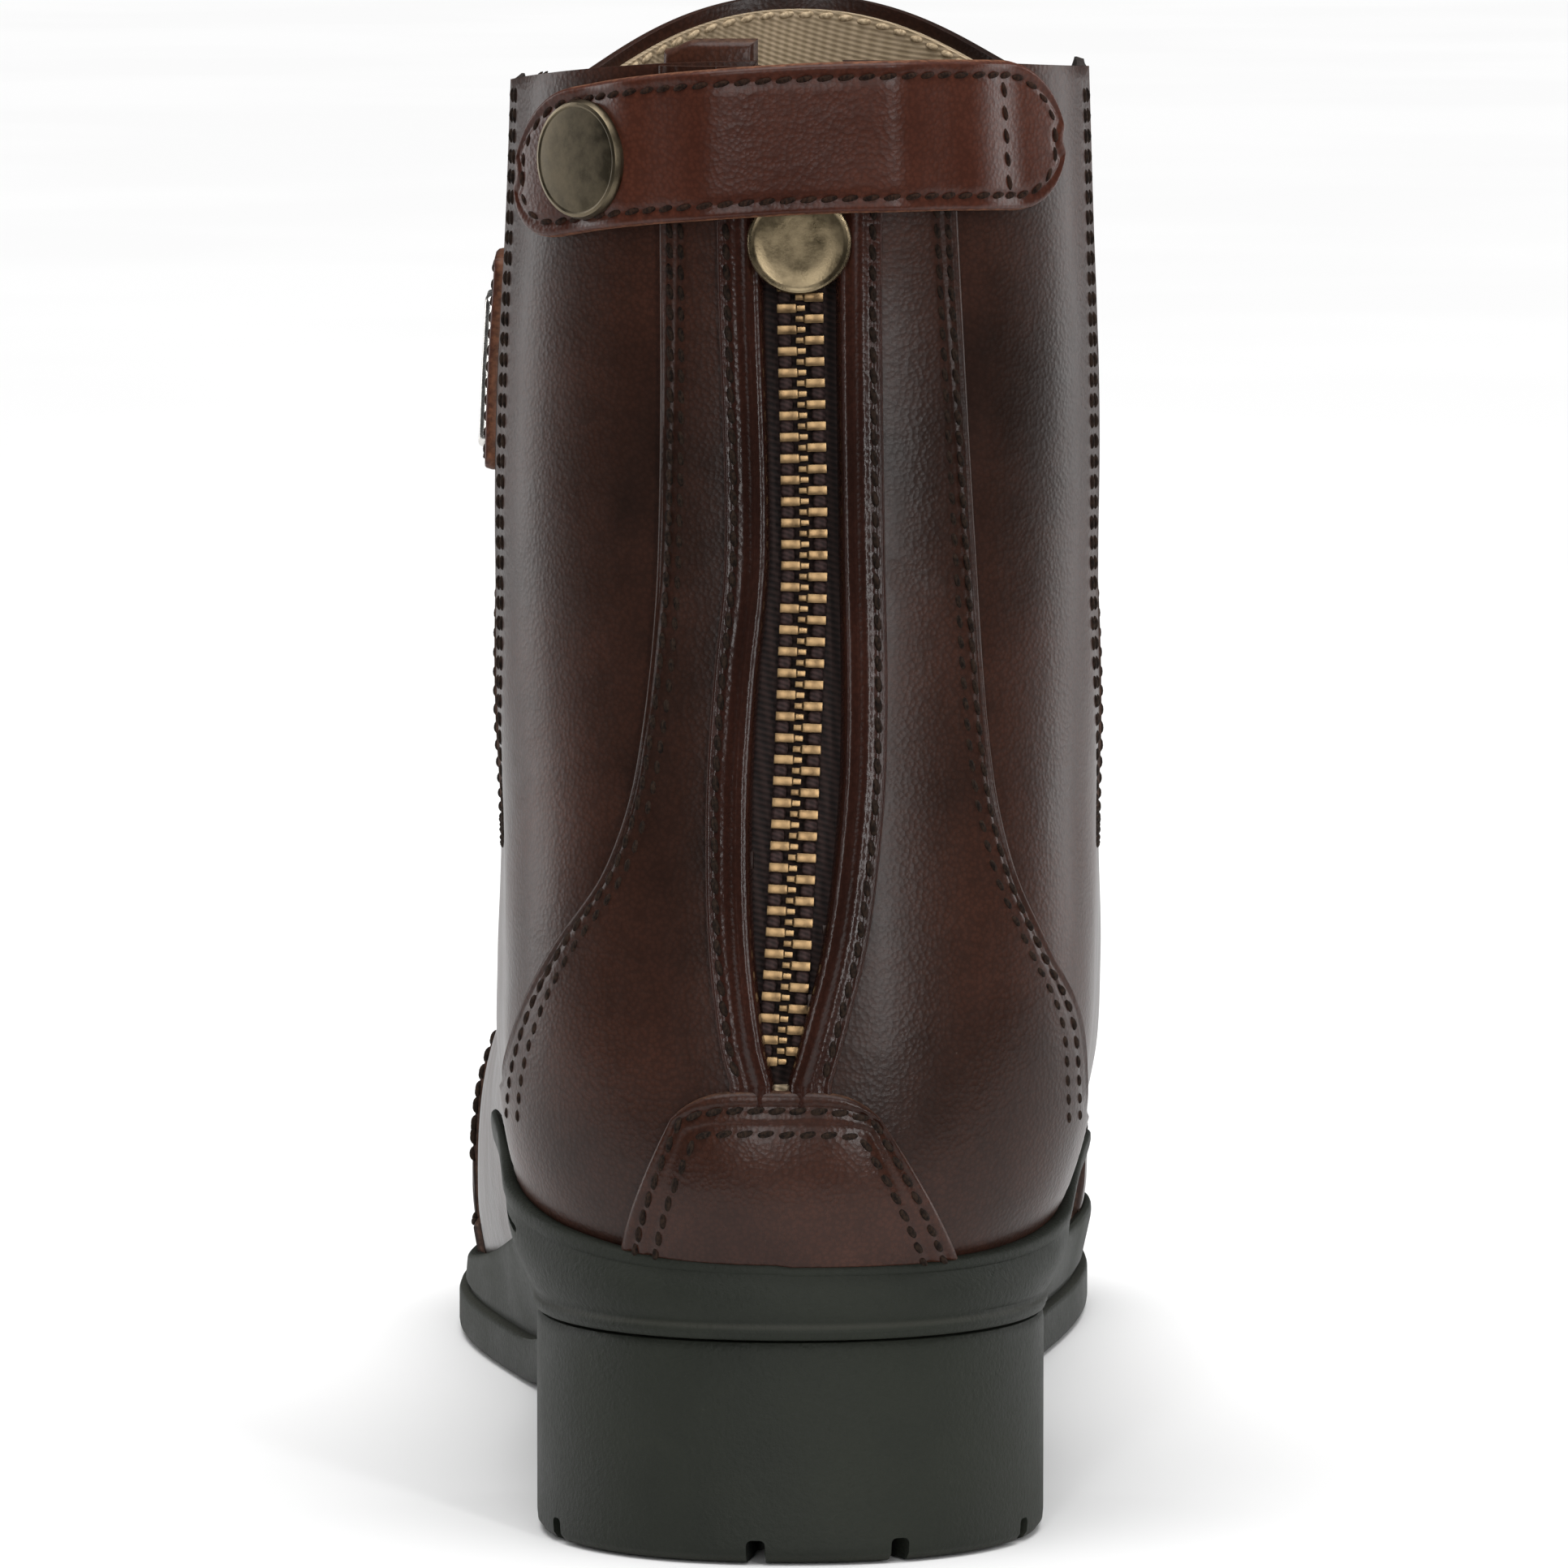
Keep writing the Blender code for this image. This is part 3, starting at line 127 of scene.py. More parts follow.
# Soft troughs in the leather, in millimetres: place, direction, length, width and depth
creaseRows = columns(
    "x y z dx dy dz long wide deep",
    (0, 97, 117, 1.0, 0.0, 0.0, 26, 5.0, 1.1),
    (0, 84, 133, 1.0, 0.0, 0.05, 24, 5.0, 0.9),
    (0, 75, 152, 1.0, 0.0, -0.05, 22, 5.0, 0.5),
    (0, 118, 98, 1.0, 0.0, 0.0, 24, 5.0, 0.5),
    (-33, 62, 96, 0.0, 0.9, -0.4, 15, 3.6, 0.7),
    (33, 60, 100, 0.0, 0.9, -0.4, 15, 3.6, 0.7),
    (-34, 44, 80, 0.0, 0.9, -0.3, 14, 3.2, 0.4),
    (34, 44, 82, 0.0, 0.9, -0.3, 14, 3.2, 0.4),
    (-6, 176, 66, 1.0, -0.15, 0.0, 22, 3.4, 0.5),
    (-4, 166, 70, 1.0, -0.12, 0.0, 20, 3.0, 0.35),
    (4, 186, 62, 1.0, -0.2, 0.0, 20, 3.2, 0.35),
    (-29, -12, 97, 0.8, -0.4, 0.42, 10, 1.3, 0.30),
    (-27, -14, 93, 0.8, -0.4, 0.2, 9, 1.1, 0.24),
    (-30, -10, 102, 0.8, -0.4, 0.5, 9, 1.2, 0.24),
    (-24, -18, 86, 0.8, -0.3, 0.3, 9, 1.2, 0.20),
    (31, -8, 96, 0.8, 0.4, -0.4, 10, 1.3, 0.30),
    (30, -10, 91, 0.8, 0.4, -0.2, 9, 1.1, 0.24),
    (28, -14, 102, 0.8, 0.4, -0.5, 9, 1.2, 0.22),
    (-15, -25, 118, 0.8, 0.0, 0.35, 9, 1.8, 0.18),
    (17, -24, 122, 0.8, 0.0, -0.3, 9, 1.8, 0.18),
    (-30, -6, 130, 0.6, -0.4, 0.5, 12, 2.6, 0.22),
    (31, -4, 140, 0.6, 0.4, -0.5, 12, 2.6, 0.22),
)


def readRow(rows, key, column, place, levelEnds=False):
    keys = rows[key]
    values = rows[column]
    slopes = np.empty(len(keys))
    slopes[1:-1] = (values[2:] - values[:-2]) / (keys[2:] - keys[:-2])
    slopes[0] = 0.0 if levelEnds else (values[1] - values[0]) / (keys[1] - keys[0])
    slopes[-1] = 0.0 if levelEnds else (values[-1] - values[-2]) / (keys[-1] - keys[-2])
    k = np.clip(np.searchsorted(keys, place) - 1, 0, len(keys) - 2)
    span = keys[k + 1] - keys[k]
    t = clamp((place - keys[k]) / span)
    rise = (2 * t**3 - 3 * t**2 + 1) * values[k] + (3 * t**2 - 2 * t**3) * values[k + 1]
    return rise + (t**3 - 2 * t**2 + t) * slopes[k] * span + (t**3 - t**2) * slopes[k + 1] * span


def clamp(t):
    return np.clip(t, 0.0, 1.0)


def ease(t):
    t = clamp(t)
    return t * t * (3.0 - 2.0 * t)


def between(a, b, t):
    return a + (b - a) * t


def roundEnd(distance, reach, power=2.0):
    t = clamp(distance / reach)
    return (1.0 - (1.0 - t) ** power) ** (1.0 / power)


def hump(value, middle, width):
    return np.exp(-(((value - middle) / width) ** 2))


def sideOf(x):
    return np.where(np.asarray(x) < 0, -1.0, 1.0)


# Halves the span from low to high, towards the place where isLow turns false
def halve(isLow, low, high, steps=15):
    for _ in range(steps):
        middle = (low + high) / 2
        under = isLow(middle)
        low = np.where(under, middle, low)
        high = np.where(under, high, middle)
    return low, high


def bottomZ(y):
    top = last.heelHeight + last.gap
    waist = between(top, 0.0, ease((y - last.breastY) / (last.flatStartY - last.breastY)))
    spring = np.maximum(0.0, (y - last.springY) / (last.toeY - last.springY))
    return waist + last.toeSpring * spring**2


def floorZ(y):
    t = ease((y - last.breastY) / (last.flatStartY - last.breastY))
    return bottomZ(y) + between(last.shankThickness, last.forefootFloor, t)


def outlineHalf(side, y):
    waist = np.where(side < 0, last.waistLateral, last.waistMedial)
    ball = last.ballWidth / 2 - side * last.ballOutward
    ballY = np.where(side < 0, last.ballLateralY, last.ballMedialY)
    hind = between(last.heelSeatWidth / 2, waist, ease(y / last.waistY))
    fore = between(waist, ball, ease((y - last.waistY) / (ballY - last.waistY)))
    width = np.where(y < last.waistY, hind, fore)
    ends = roundEnd(y + last.heelBack, last.heelRound, 2.2)
    return width * ends * roundEnd(last.toeY - y, last.toeY - ballY, 2.2)


fineLevels = np.linspace(0.0, 1.0, 2001)
fineRows = {name: readRow(lastRows, "level", name, fineLevels) for name in lastRows if name != "level"}
fineRows["backPoint"] = -last.heelReach * fineRows["backY"]
fineRows["frontPoint"] = between(last.collarFrontY, last.upperToeY, fineRows["frontY"])
seatBack = floorZ(fineRows["backPoint"]) + last.gap
seatFront = floorZ(fineRows["frontPoint"]) + last.gap
fineRows["backHeight"] = between(seatBack, last.collarBackZ, fineRows["backZ"])
fineRows["frontHeight"] = between(seatFront, last.collarFrontZ, fineRows["frontZ"])


def atLevel(name, level):
    return np.interp(level, fineLevels, fineRows[name])


def lastPoint(level, angle):
    level, angle = np.broadcast_arrays(np.asarray(level, dtype=float), np.asarray(angle, dtype=float))
    side = sideOf(np.sin(angle))
    share = (1.0 - np.cos(angle)) / 2.0
    backPoint = atLevel("backPoint", level)
    frontPoint = atLevel("frontPoint", level)
    y = between(backPoint, frontPoint, share)
    z = between(atLevel("backHeight", level), atLevel("frontHeight", level), share)
    follow = 1.0 - ease(level / 0.30)
    z = z + follow * (floorZ(y) - between(floorZ(backPoint), floorZ(frontPoint), share))
    dip = np.where(side < 0, last.collarDipLateral, last.collarDipMedial)
    arch = clamp((1.0 - share) / last.collarArchReach)
    drop = dip * np.sin(math.pi * share) + last.collarArch * np.sin(math.pi * arch)
    z = z - drop * ease((level - 0.7) / 0.3)
    half = last.shaftWidth / 2
    bulge = np.where(side < 0, 0.0, last.ankleBulge) * ease(1.0 - np.abs(z - last.ankleZ) / last.ankleReach)
    heel = atLevel("heel", level) * half + bulge
    middle = atLevel("mid", level) * half + bulge
    instep = atLevel("instep", level) * half * np.where(side < 0, 1.03, 0.96) + bulge
    ball = np.where(side < 0, atLevel("lateral", level), atLevel("medial", level)) * last.ballWidth / 2
    ballY = np.where(side < 0, last.ballLateralY, last.ballMedialY)
    nose = np.where(side < 0, atLevel("noseLateral", level), atLevel("noseMedial", level)) * last.upperToeY
    middleY = last.waistY * 0.5
    instepY = last.waistY * 1.2
    hind = between(heel, middle, ease(y / middleY))
    waist = between(middle, instep, ease((y - middleY) / (instepY - middleY)))
    fore = between(instep, ball, ease((y - instepY) / (ballY - instepY)))
    width = np.where(y < middleY, hind, np.where(y < instepY, waist, fore))
    backRound = between(last.heelRound * 0.9, last.backRound, ease(level / 0.5))
    x = width * roundEnd(y - backPoint, backRound, 2.1) * roundEnd(frontPoint - y, nose, 2.1)
    lean = last.shaftLean * ease((z - last.heelHeight) / (last.collarBackZ - last.heelHeight))
    return np.stack([side * x + lean, y, z], axis=-1)


def unit(vectors):
    return vectors / np.maximum(np.linalg.norm(vectors, axis=-1, keepdims=True), 1e-12)


def lastNormal(level, angle):
    up = lastPoint(np.minimum(level + 0.004, 1.0), angle) - lastPoint(np.maximum(level - 0.004, 0.0), angle)
    along = lastPoint(level, angle + 0.02) - lastPoint(level, angle - 0.02)
    return unit(np.cross(along, up))


# Depth of the listed creases at points: each is a trough between two low ridges
def creaseLift(points):
    lift = np.zeros(points.shape[:-1])
    for x, y, z, dx, dy, dz, long, wide, deep in tableRows(creaseRows):
        reach = points * 1000.0 - np.array([x, y, z])
        way = unit(np.array([dx, dy, dz]))
        along = reach @ way
        away = np.linalg.norm(reach - along[..., None] * way, axis=-1) / wide
        lift = lift - deep * 0.001 * (1.0 - 1.3 * away**2) * np.exp(-(away**2) - 2.0 * (along / long) ** 2)
    return lift


def skinPoint(level, angle, offset):
    points = lastPoint(level, angle)
    lift = np.asarray(offset + creaseLift(points))
    return points + lastNormal(level, angle) * lift[..., None]


def angleForY(level, y, side):
    back = atLevel("backPoint", level)
    share = clamp((y - back) / (atLevel("frontPoint", level) - back))
    return side * np.arccos(1.0 - 2.0 * share)


def angleForX(level, x):
    widest = angleForY(level, elastics.y, 1)
    return sum(halve(lambda angle: lastPoint(level, angle)[..., 0] < x, -widest, widest)) / 2


# Level at which a way up the last, given by its angle at each level, reaches the height z
def levelForZ(z, angleAt):
    low = np.zeros(np.shape(z))
    return sum(halve(lambda level: lastPoint(level, angleAt(level))[..., 2] < z, low, low + 1.0)) / 2


def above(points, level, angle, z):
    points[..., 2] += np.maximum(0.0, z - lastPoint(level, angle)[..., 2])
    return points


def overSide(side, y, z, offset):
    y, z = np.broadcast_arrays(np.asarray(y, dtype=float), np.asarray(z, dtype=float))
    level = levelForZ(z, lambda at: angleForY(at, y, side))
    angle = angleForY(level, y, side)
    return above(skinPoint(level, angle, offset), level, angle, z)


# Level and angle of the back at x and z, as seen from behind
def backPlace(x, z):
    x, z = np.broadcast_arrays(np.asarray(x, dtype=float), np.asarray(z, dtype=float))
    level = np.interp(z, fineRows["backHeight"], fineLevels)
    for _ in range(4):
        angle = angleForX(level, x)
        here = lastPoint(level, angle)[..., 2]
        nudge = np.where(level > 0.5, -0.004, 0.004)
        slope = (lastPoint(level + nudge, angle)[..., 2] - here) / nudge
        level = clamp(level + (z - here) / slope)
    return level, angleForX(level, x)


def overBack(x, z, offset):
    level, angle = backPlace(x, z)
    return above(skinPoint(level, angle, offset), level, angle, z)


def rimZ(side, y):
    lateral = readRow(rimRows, "y", "lateral", y / last.toeY, True)
    medial = readRow(rimRows, "y", "medial", y / last.toeY, True)
    return floorZ(y) + np.where(side < 0, lateral, medial) * last.heelHeight


def rimLevel(angle, lift=0.0):
    side = sideOf(np.sin(angle))
    low = np.zeros(np.shape(angle))

    def underRim(level):
        point = lastPoint(level, angle)
        return rimZ(side, point[..., 1]) + lift > point[..., 2]

    return sum(halve(underRim, low, low + 0.6, 16)) / 2


# Height on the back at which leather at x meets the rubber rim
def rimFoot(x, lift):
    z = rimZ(sideOf(x), -last.heelReach + 0.0 * x)
    for _ in range(4):
        z = rimZ(sideOf(x), overBack(x, z, 0.0)[..., 1]) + lift
    return z


def slotShare(z):
    return np.maximum((z - zipper.footZ) / (last.collarBackZ - zipper.footZ), 0.0)


def slotEdge(z, side, margin):
    share = slotShare(z)
    middle = readRow(slotRows, "z", "middle", share) * zipper.chain
    half = readRow(slotRows, "z", "half", share) * zipper.chain
    return middle + side * (half + margin) + last.shaftLean * share


def slotMiddle(z):
    return (slotEdge(z, -1, 0) + slotEdge(z, 1, 0)) / 2


def counterEdge(z, side):
    column = "lateral" if side < 0 else "medial"
    return side * readRow(counterRows, "z", column, z / last.collarBackZ) * last.shaftWidth / 2


elastics = Sizes(y=0.022, width=0.042, footZ=0.088, thickness=0.0012, sink=0.0006)
zipper = Sizes(footZ=0.0605, chain=0.0059, pitch=0.00267, tooth=0.00112, sliderZ=0.1755)


# Signed distance to the edge of the elastic's U, below zero inside it
def gussetDistance(y, z):
    radius = elastics.width / 2
    foot = radius * 1.5
    centreZ = elastics.footZ + foot
    curved = (np.hypot((y - elastics.y) / radius, (z - centreZ) / foot) - 1.0) * radius
    return np.where(z > centreZ, np.abs(y - elastics.y) - radius, curved)


print("stage: helpers ready")


def operator(operation, swapped=False):
    return lambda signal, other: signal.maths(operation, other, swapped)


# Shader maths as plain expressions on sockets
class Signal:
    def __init__(self, finish, socket):
        self.finish = finish
        self.socket = socket

    def maths(self, operation, other, swapped=False):
        first, second = (other, self) if swapped else (self, other)
        return self.finish.node("ShaderNodeMath", {"operation": operation}, {0: first, 1: second})

    __add__ = operator("ADD")
    __radd__ = operator("ADD", True)
    __sub__ = operator("SUBTRACT")
    __rsub__ = operator("SUBTRACT", True)
    __mul__ = operator("MULTIPLY")
    __rmul__ = operator("MULTIPLY", True)


# One material, whose nodes are all made by one method
class Finish:
    def __init__(self, name, roughness, metallic=0.0):
        self.material = bpy.data.materials.new(name)
        self.material.use_nodes = True
        self.tree = self.material.node_tree
        self.shader = self.tree.nodes["Principled BSDF"]
        self.feed("Roughness", roughness)
        self.feed("Metallic", metallic)
        self.place = self.node("ShaderNodeTexCoord", {}, {}, "Object")

    def node(self, kind, settings, inputs, output=0):
        made = self.tree.nodes.new(kind)
        for key, value in settings.items():
            if key == "stops":
                self.setStops(made.color_ramp, value)
            else:
                setattr(made, key, value)
        for key, value in inputs.items():
            self.join(made.inputs[key], value)
        return Signal(self, made.outputs[output])

    def setStops(self, ramp, stops):
        while len(ramp.elements) < len(stops):
            ramp.elements.new(0.5)
        for element, (position, shade) in zip(ramp.elements, stops):
            element.position = position
            element.color = self.colour(shade)

    def join(self, socket, value):
        if isinstance(value, Signal):
            self.tree.links.new(value.socket, socket)
        else:
            socket.default_value = value

    def colour(self, value):
        return (*value, 1.0) if isinstance(value, tuple) and len(value) == 3 else value

    def feed(self, name, value):
        self.join(self.shader.inputs[name], self.colour(value))

    def noise(self, scale, detail=3.0, roughness=0.55, place=None):
        inputs = {"Scale": scale, "Detail": detail, "Roughness": roughness, "Vector": place or self.place}
        return self.node("ShaderNodeTexNoise", {}, inputs)

    def cells(self, scale, place=None, feature="F1"):
        inputs = {"Scale": scale, "Vector": place or self.place}
        return self.node("ShaderNodeTexVoronoi", {"feature": feature}, inputs, "Distance")

    def stretched(self, x, y, z, turn=(0.0, 0.0, 0.0)):
        return self.node("ShaderNodeMapping", {}, {"Vector": self.place, "Scale": (x, y, z), "Rotation": turn})

    def span(self, value, low, high, start, end):
        inputs = {"Value": value, "From Min": low, "From Max": high, "To Min": start, "To Max": end}
        return self.node("ShaderNodeMapRange", {"clamp": True}, inputs)

    def blend(self, amount, first, second, way="MIX"):
        inputs = {0: amount, 6: self.colour(first), 7: self.colour(second)}
        return self.node("ShaderNodeMix", {"data_type": "RGBA", "blend_type": way}, inputs, 2)

    # The first colour, and the second where a mask rises from low to high, at most by amount
    def tint(self, mask, low, high, amount, first, second):
        return self.blend(self.span(mask, low, high, 0.0, amount), first, second)

    def attribute(self, name):
        return self.node("ShaderNodeAttribute", {"attribute_name": name}, {}, "Fac")

    def axis(self, name):
        return self.node("ShaderNodeSeparateXYZ", {}, {"Vector": self.place}, name)

    def wave(self, value):
        return self.node("ShaderNodeMath", {"operation": "SINE"}, {0: value, 1: 0.0})

    def bump(self, height, strength, distance, under=None):
        inputs = {"Height": height, "Strength": strength, "Distance": distance}
        if under:
            inputs["Normal"] = under
        return self.node("ShaderNodeBump", {}, inputs, "Normal")


def lighter(colour, factor):
    return tuple(channel * factor for channel in colour)


# Waxed leather: grain, pores, small wrinkles, cloudy colour, and rougher lighter cut edges
def leatherFinish(name, deep, warm, raw, rough, grainDepth=0.00009):
    made = Finish(name, rough)
    cloud = made.noise(30.0, 5.0, 0.6)
    patch = made.noise(11.0, 2.0, 0.5)
    grain = made.cells(1700.0)
    fine = made.noise(1100.0, 4.0, 0.6)
    wrinkle = made.noise(1.0, 5.0, 0.55, made.stretched(95.0, 95.0, 240.0))
    scuff = made.noise(1.0, 6.0, 0.7, made.stretched(330.0, 330.0, 60.0))
    worn = made.attribute("edge")
    tone = made.tint(cloud * 0.6 + patch * 0.4, 0.38, 0.62, 1.0, deep, warm)
    tone = made.tint(grain, 0.30, 0.65, 0.35, tone, lighter(deep, 0.5))
    cut = made.tint(fine, 0.35, 0.65, 1.0, lighter(raw, 0.6), lighter(raw, 1.4))
    tone = made.tint(worn + (fine - 0.5) * 0.6, 0.62, 0.92, 1.0, tone, cut)
    tone = made.tint(made.noise(560.0, 2.0, 0.9), 0.80, 0.86, 0.28, tone, (0.19, 0.14, 0.11))
    made.feed("Base Color", tone)
    gloss = made.span(cloud + scuff * 0.6, 0.45, 1.15, rough - 0.07, rough + 0.12)
    made.feed("Roughness", gloss + worn * 0.25)
    made.feed("Specular IOR Level", 0.20)
    made.feed("Coat Weight", made.span(cloud, 0.35, 0.65, 0.02, 0.10))
    made.feed("Coat Roughness", 0.22)
    large = made.bump(wrinkle, 0.24, 0.00045)
    middle = made.bump(grain, 0.38, grainDepth, large)
    made.feed("Normal", made.bump(fine, 0.3, grainDepth * 0.6, middle))
    return made.material


def rubberFinish():
    made = Finish("rubberGreenBlack", 0.62)
    cloud = made.noise(40.0, 4.0, 0.6)
    grain = made.noise(1500.0, 4.0, 0.65)
    dust = made.noise(700.0, 4.0, 0.85)
    worn = made.attribute("edge")
    tone = made.tint(cloud, 0.35, 0.65, 1.0, (0.0095, 0.0115, 0.0078), (0.0165, 0.0190, 0.0135))
    tone = made.tint(dust, 0.66, 0.80, 0.35, tone, (0.085, 0.080, 0.068))
    tone = made.tint(worn, 0.4, 1.0, 0.35, tone, (0.09, 0.085, 0.07))
    made.feed("Base Color", tone)
    made.feed("Roughness", made.span(cloud + grain * 0.4, 0.5, 0.95, 0.50, 0.72))
    made.feed("Specular IOR Level", 0.22)
    scratch = made.bump(made.noise(1.0, 4.0, 0.6, made.stretched(60.0, 60.0, 900.0)), 0.25, 0.00012)
    made.feed("Normal", made.bump(grain, 0.8, 0.00022, scratch))
    return made.material


# Woven elastic: steep twill ribs with a faint heather
def elasticFinish():
    made = Finish("elasticTwill", 0.85)
    place = made.axis("Y")
    height = made.axis("Z")
    twill = made.wave((place + height * 0.5) * 5600.0)
    cross = made.wave((height - place * 0.25) * 8200.0)
    weave = twill * 0.35 + cross * 0.15 + 0.5
    heather = made.noise(900.0, 3.0, 0.7)
    tone = made.tint(weave, 0.1, 0.9, 1.0, (0.006, 0.0045, 0.0042), (0.030, 0.021, 0.018))
    tone = made.tint(heather, 0.45, 0.75, 0.4, tone, (0.042, 0.030, 0.025))
    made.feed("Base Color", tone)
    made.feed("Specular IOR Level", 0.3)
    made.feed("Normal", made.bump(weave + heather * 0.4, 0.8, 0.00028))
    return made.material


# Woven cloth with threads both ways
def weaveFinish(name, low, high, upright, across, depth, rough):
    made = Finish(name, rough)
    level = made.axis("X") + made.axis("Y")
    warp = made.wave(made.axis("Z") * upright + level * across * 0.6)
    weft = made.wave(level * across)
    fuzz = made.noise(900.0, 3.0, 0.7)
    weave = warp * 0.3 + weft * 0.2 + 0.5
    tone = made.tint(weave + (fuzz - 0.5) * 0.6, 0.1, 0.9, 1.0, low, high)
    tone = made.tint(made.noise(60.0), 0.35, 0.7, 0.3, tone, lighter(low, 0.6))
    made.feed("Base Color", tone)
    made.feed("Specular IOR Level", 0.3)
    made.feed("Normal", made.bump(weave + fuzz * 0.5, 0.7, depth))
    return made.material


# Old plated metal, worn bright on its edges and darker in its hollows
def metalFinish(name, dull, bright, rough):
    made = Finish(name, rough, 1.0)
    cloud = made.noise(420.0, 5.0, 0.65)
    fine = made.noise(2400.0, 3.0, 0.7)
    worn = made.attribute("edge")
    made.feed("Base Color", made.tint(cloud + worn * 0.5, 0.40, 0.95, 1.0, dull, bright))
    shine = made.span(cloud - worn * 0.3 + fine * 0.2, 0.2, 0.9, rough - 0.1, rough + 0.18)
    made.feed("Roughness", shine)
    made.feed("Normal", made.bump(cloud * 0.5 + fine, 0.25, 0.00006))
    return made.material


def threadFinish(name, low, high):
    made = Finish(name, 0.85)
    twist = made.noise(1.0, 2.0, 0.5, made.stretched(2600.0, 2600.0, 1500.0))
    made.feed("Base Color", made.tint(twist, 0.35, 0.65, 1.0, low, high))
    made.feed("Normal", made.bump(twist, 0.7, 0.00012))
    made.feed("Specular IOR Level", 0.12)
    return made.material


# Leathers by name, with their deep, warm and cut edge colours and their roughness
leathers = {
    "leatherBrown": ((0.0170, 0.0080, 0.0056), (0.053, 0.0185, 0.0108), (0.060, 0.029, 0.018), 0.32),
    "leatherFacing": ((0.021, 0.0080, 0.0056), (0.050, 0.0160, 0.0100), (0.06, 0.028, 0.02), 0.20),
    "leatherStrap": ((0.046, 0.0140, 0.0088), (0.088, 0.0260, 0.0145), (0.16, 0.065, 0.034), 0.30),
    "leatherPatch": ((0.024, 0.0095, 0.0062), (0.064, 0.0220, 0.0125), (0.070, 0.034, 0.020), 0.26),
    "leatherInsole": ((0.24, 0.16, 0.095), (0.33, 0.23, 0.14), (0.38, 0.27, 0.17), 0.6),
}
leather, facingLeather, strapLeather, patchLeather, insoleLeather = (
    leatherFinish(name, *colours) for name, colours in leathers.items()
)
rubber = rubberFinish()
elastic = elasticFinish()
# Cloths by name, with their low and high colours, threads up and across, bump depth and roughness
cloths = {
    "liningTwill": ((0.33, 0.25, 0.155), (0.60, 0.47, 0.32), 9500.0, 5200.0, 0.00014, 0.9),
    "tapeWeave": ((0.008, 0.0048, 0.0042), (0.034, 0.0190, 0.0165), 7500.0, 4200.0, 0.00022, 0.85),
    "beadWeave": ((0.018, 0.0095, 0.0085), (0.055, 0.030, 0.028), 9000.0, 6000.0, 0.00015, 0.8),
}
liningTwill, tapeWeave, beadWeave = (weaveFinish(name, *colours) for name, colours in cloths.items())
brassTeeth = metalFinish("brassTeeth", (0.13, 0.080, 0.040), (0.38, 0.25, 0.125), 0.36)
darkBrass = metalFinish("darkBrass", (0.050, 0.041, 0.026), (0.145, 0.118, 0.078), 0.42)
pullBrass = metalFinish("pullBrass", (0.11, 0.085, 0.050), (0.31, 0.245, 0.150), 0.33)
plateMetal = metalFinish("plateMetal", (0.42, 0.41, 0.39), (0.66, 0.64, 0.61), 0.30)
thread = threadFinish("threadBrown", (0.0072, 0.0045, 0.0034), (0.028, 0.0165, 0.0110))
strapThread = threadFinish("threadStrap", (0.0095, 0.0050, 0.0036), (0.036, 0.0175, 0.0110))
liningThread = threadFinish("threadLining", (0.32, 0.24, 0.15), (0.60, 0.47, 0.31))
print("stage: finishes ready")


def deselectAll():
    for piece in bpy.context.selected_objects:
        piece.select_set(False)


def addObject(name, data):
    made = bpy.data.objects.new(name, data)
    bpy.context.scene.collection.objects.link(made)
    return made


def makeActive(piece):
    deselectAll()
    piece.select_set(True)
    bpy.context.view_layer.objects.active = piece


# Edit mode with the whole mesh selected
@contextmanager
def editing(piece):
    makeActive(piece)
    bpy.ops.object.mode_set(mode="EDIT")
    bpy.ops.mesh.select_all(action="SELECT")
    yield
    bpy.ops.object.mode_set(mode="OBJECT")


def applyModifier(piece, kind, **settings):
    modifier = piece.modifiers.new(kind.lower(), kind)
    for key, value in settings.items():
        setattr(modifier, key, value)
    makeActive(piece)
    bpy.ops.object.modifier_apply(modifier=modifier.name)


def readPoints(piece):
    flat = np.empty(len(piece.data.vertices) * 3)
    piece.data.vertices.foreach_get("co", flat)
    return flat.reshape(-1, 3)


def writePoints(piece, points):
    piece.data.vertices.foreach_set("co", np.asarray(points).ravel())
    piece.data.update()


def setEdge(piece, values):
    layer = piece.data.attributes.get("edge") or piece.data.attributes.new("edge", "FLOAT", "POINT")
    layer.data.foreach_set("value", np.broadcast_to(values, len(piece.data.vertices)).astype(np.float32))


def turnOutwards(piece, merge=0.0):
    with editing(piece):
        if merge:
            bpy.ops.mesh.remove_doubles(threshold=merge)
            bpy.ops.mesh.select_all(action="SELECT")
        bpy.ops.mesh.normals_make_consistent(inside=False)


# Name, finish, body and smooth shading of a modelled piece
def finishPiece(piece, name, finish, nodes=(), body=bootBody, angle=35):
    piece.name = name
    piece.data.name = name
    piece.data.materials.clear()
    piece.data.materials.append(finish)
    if "edge" not in piece.data.attributes:
        setEdge(piece, 0.0)
    makeActive(piece)
    bpy.ops.object.shade_smooth_by_angle(angle=math.radians(angle))
    deselectAll()
    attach(piece, body)
    if nodes:
        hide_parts(*nodes)
    return piece


# A flat grid of one unit each way, whose places are read as shares
def addGrid(across, along):
    deselectAll()
    cells = {"x_subdivisions": across, "y_subdivisions": along}
    bpy.ops.mesh.primitive_grid_add(size=1.0, location=(0.5, 0.5, 0.0), **cells)
    bpy.ops.object.transform_apply(location=True, rotation=True, scale=True)
    return bpy.context.active_object


# Even shares from 0 to 1, drawn together near both ends
def crowded(count, pull=0.7):
    share = np.linspace(0.0, 1.0, count + 1)
    return share - pull * np.sin(2 * math.pi * share) / (2 * math.pi)


groove = Sizes(depth=0.00026, width=0.00060, edgeShare=0.30)


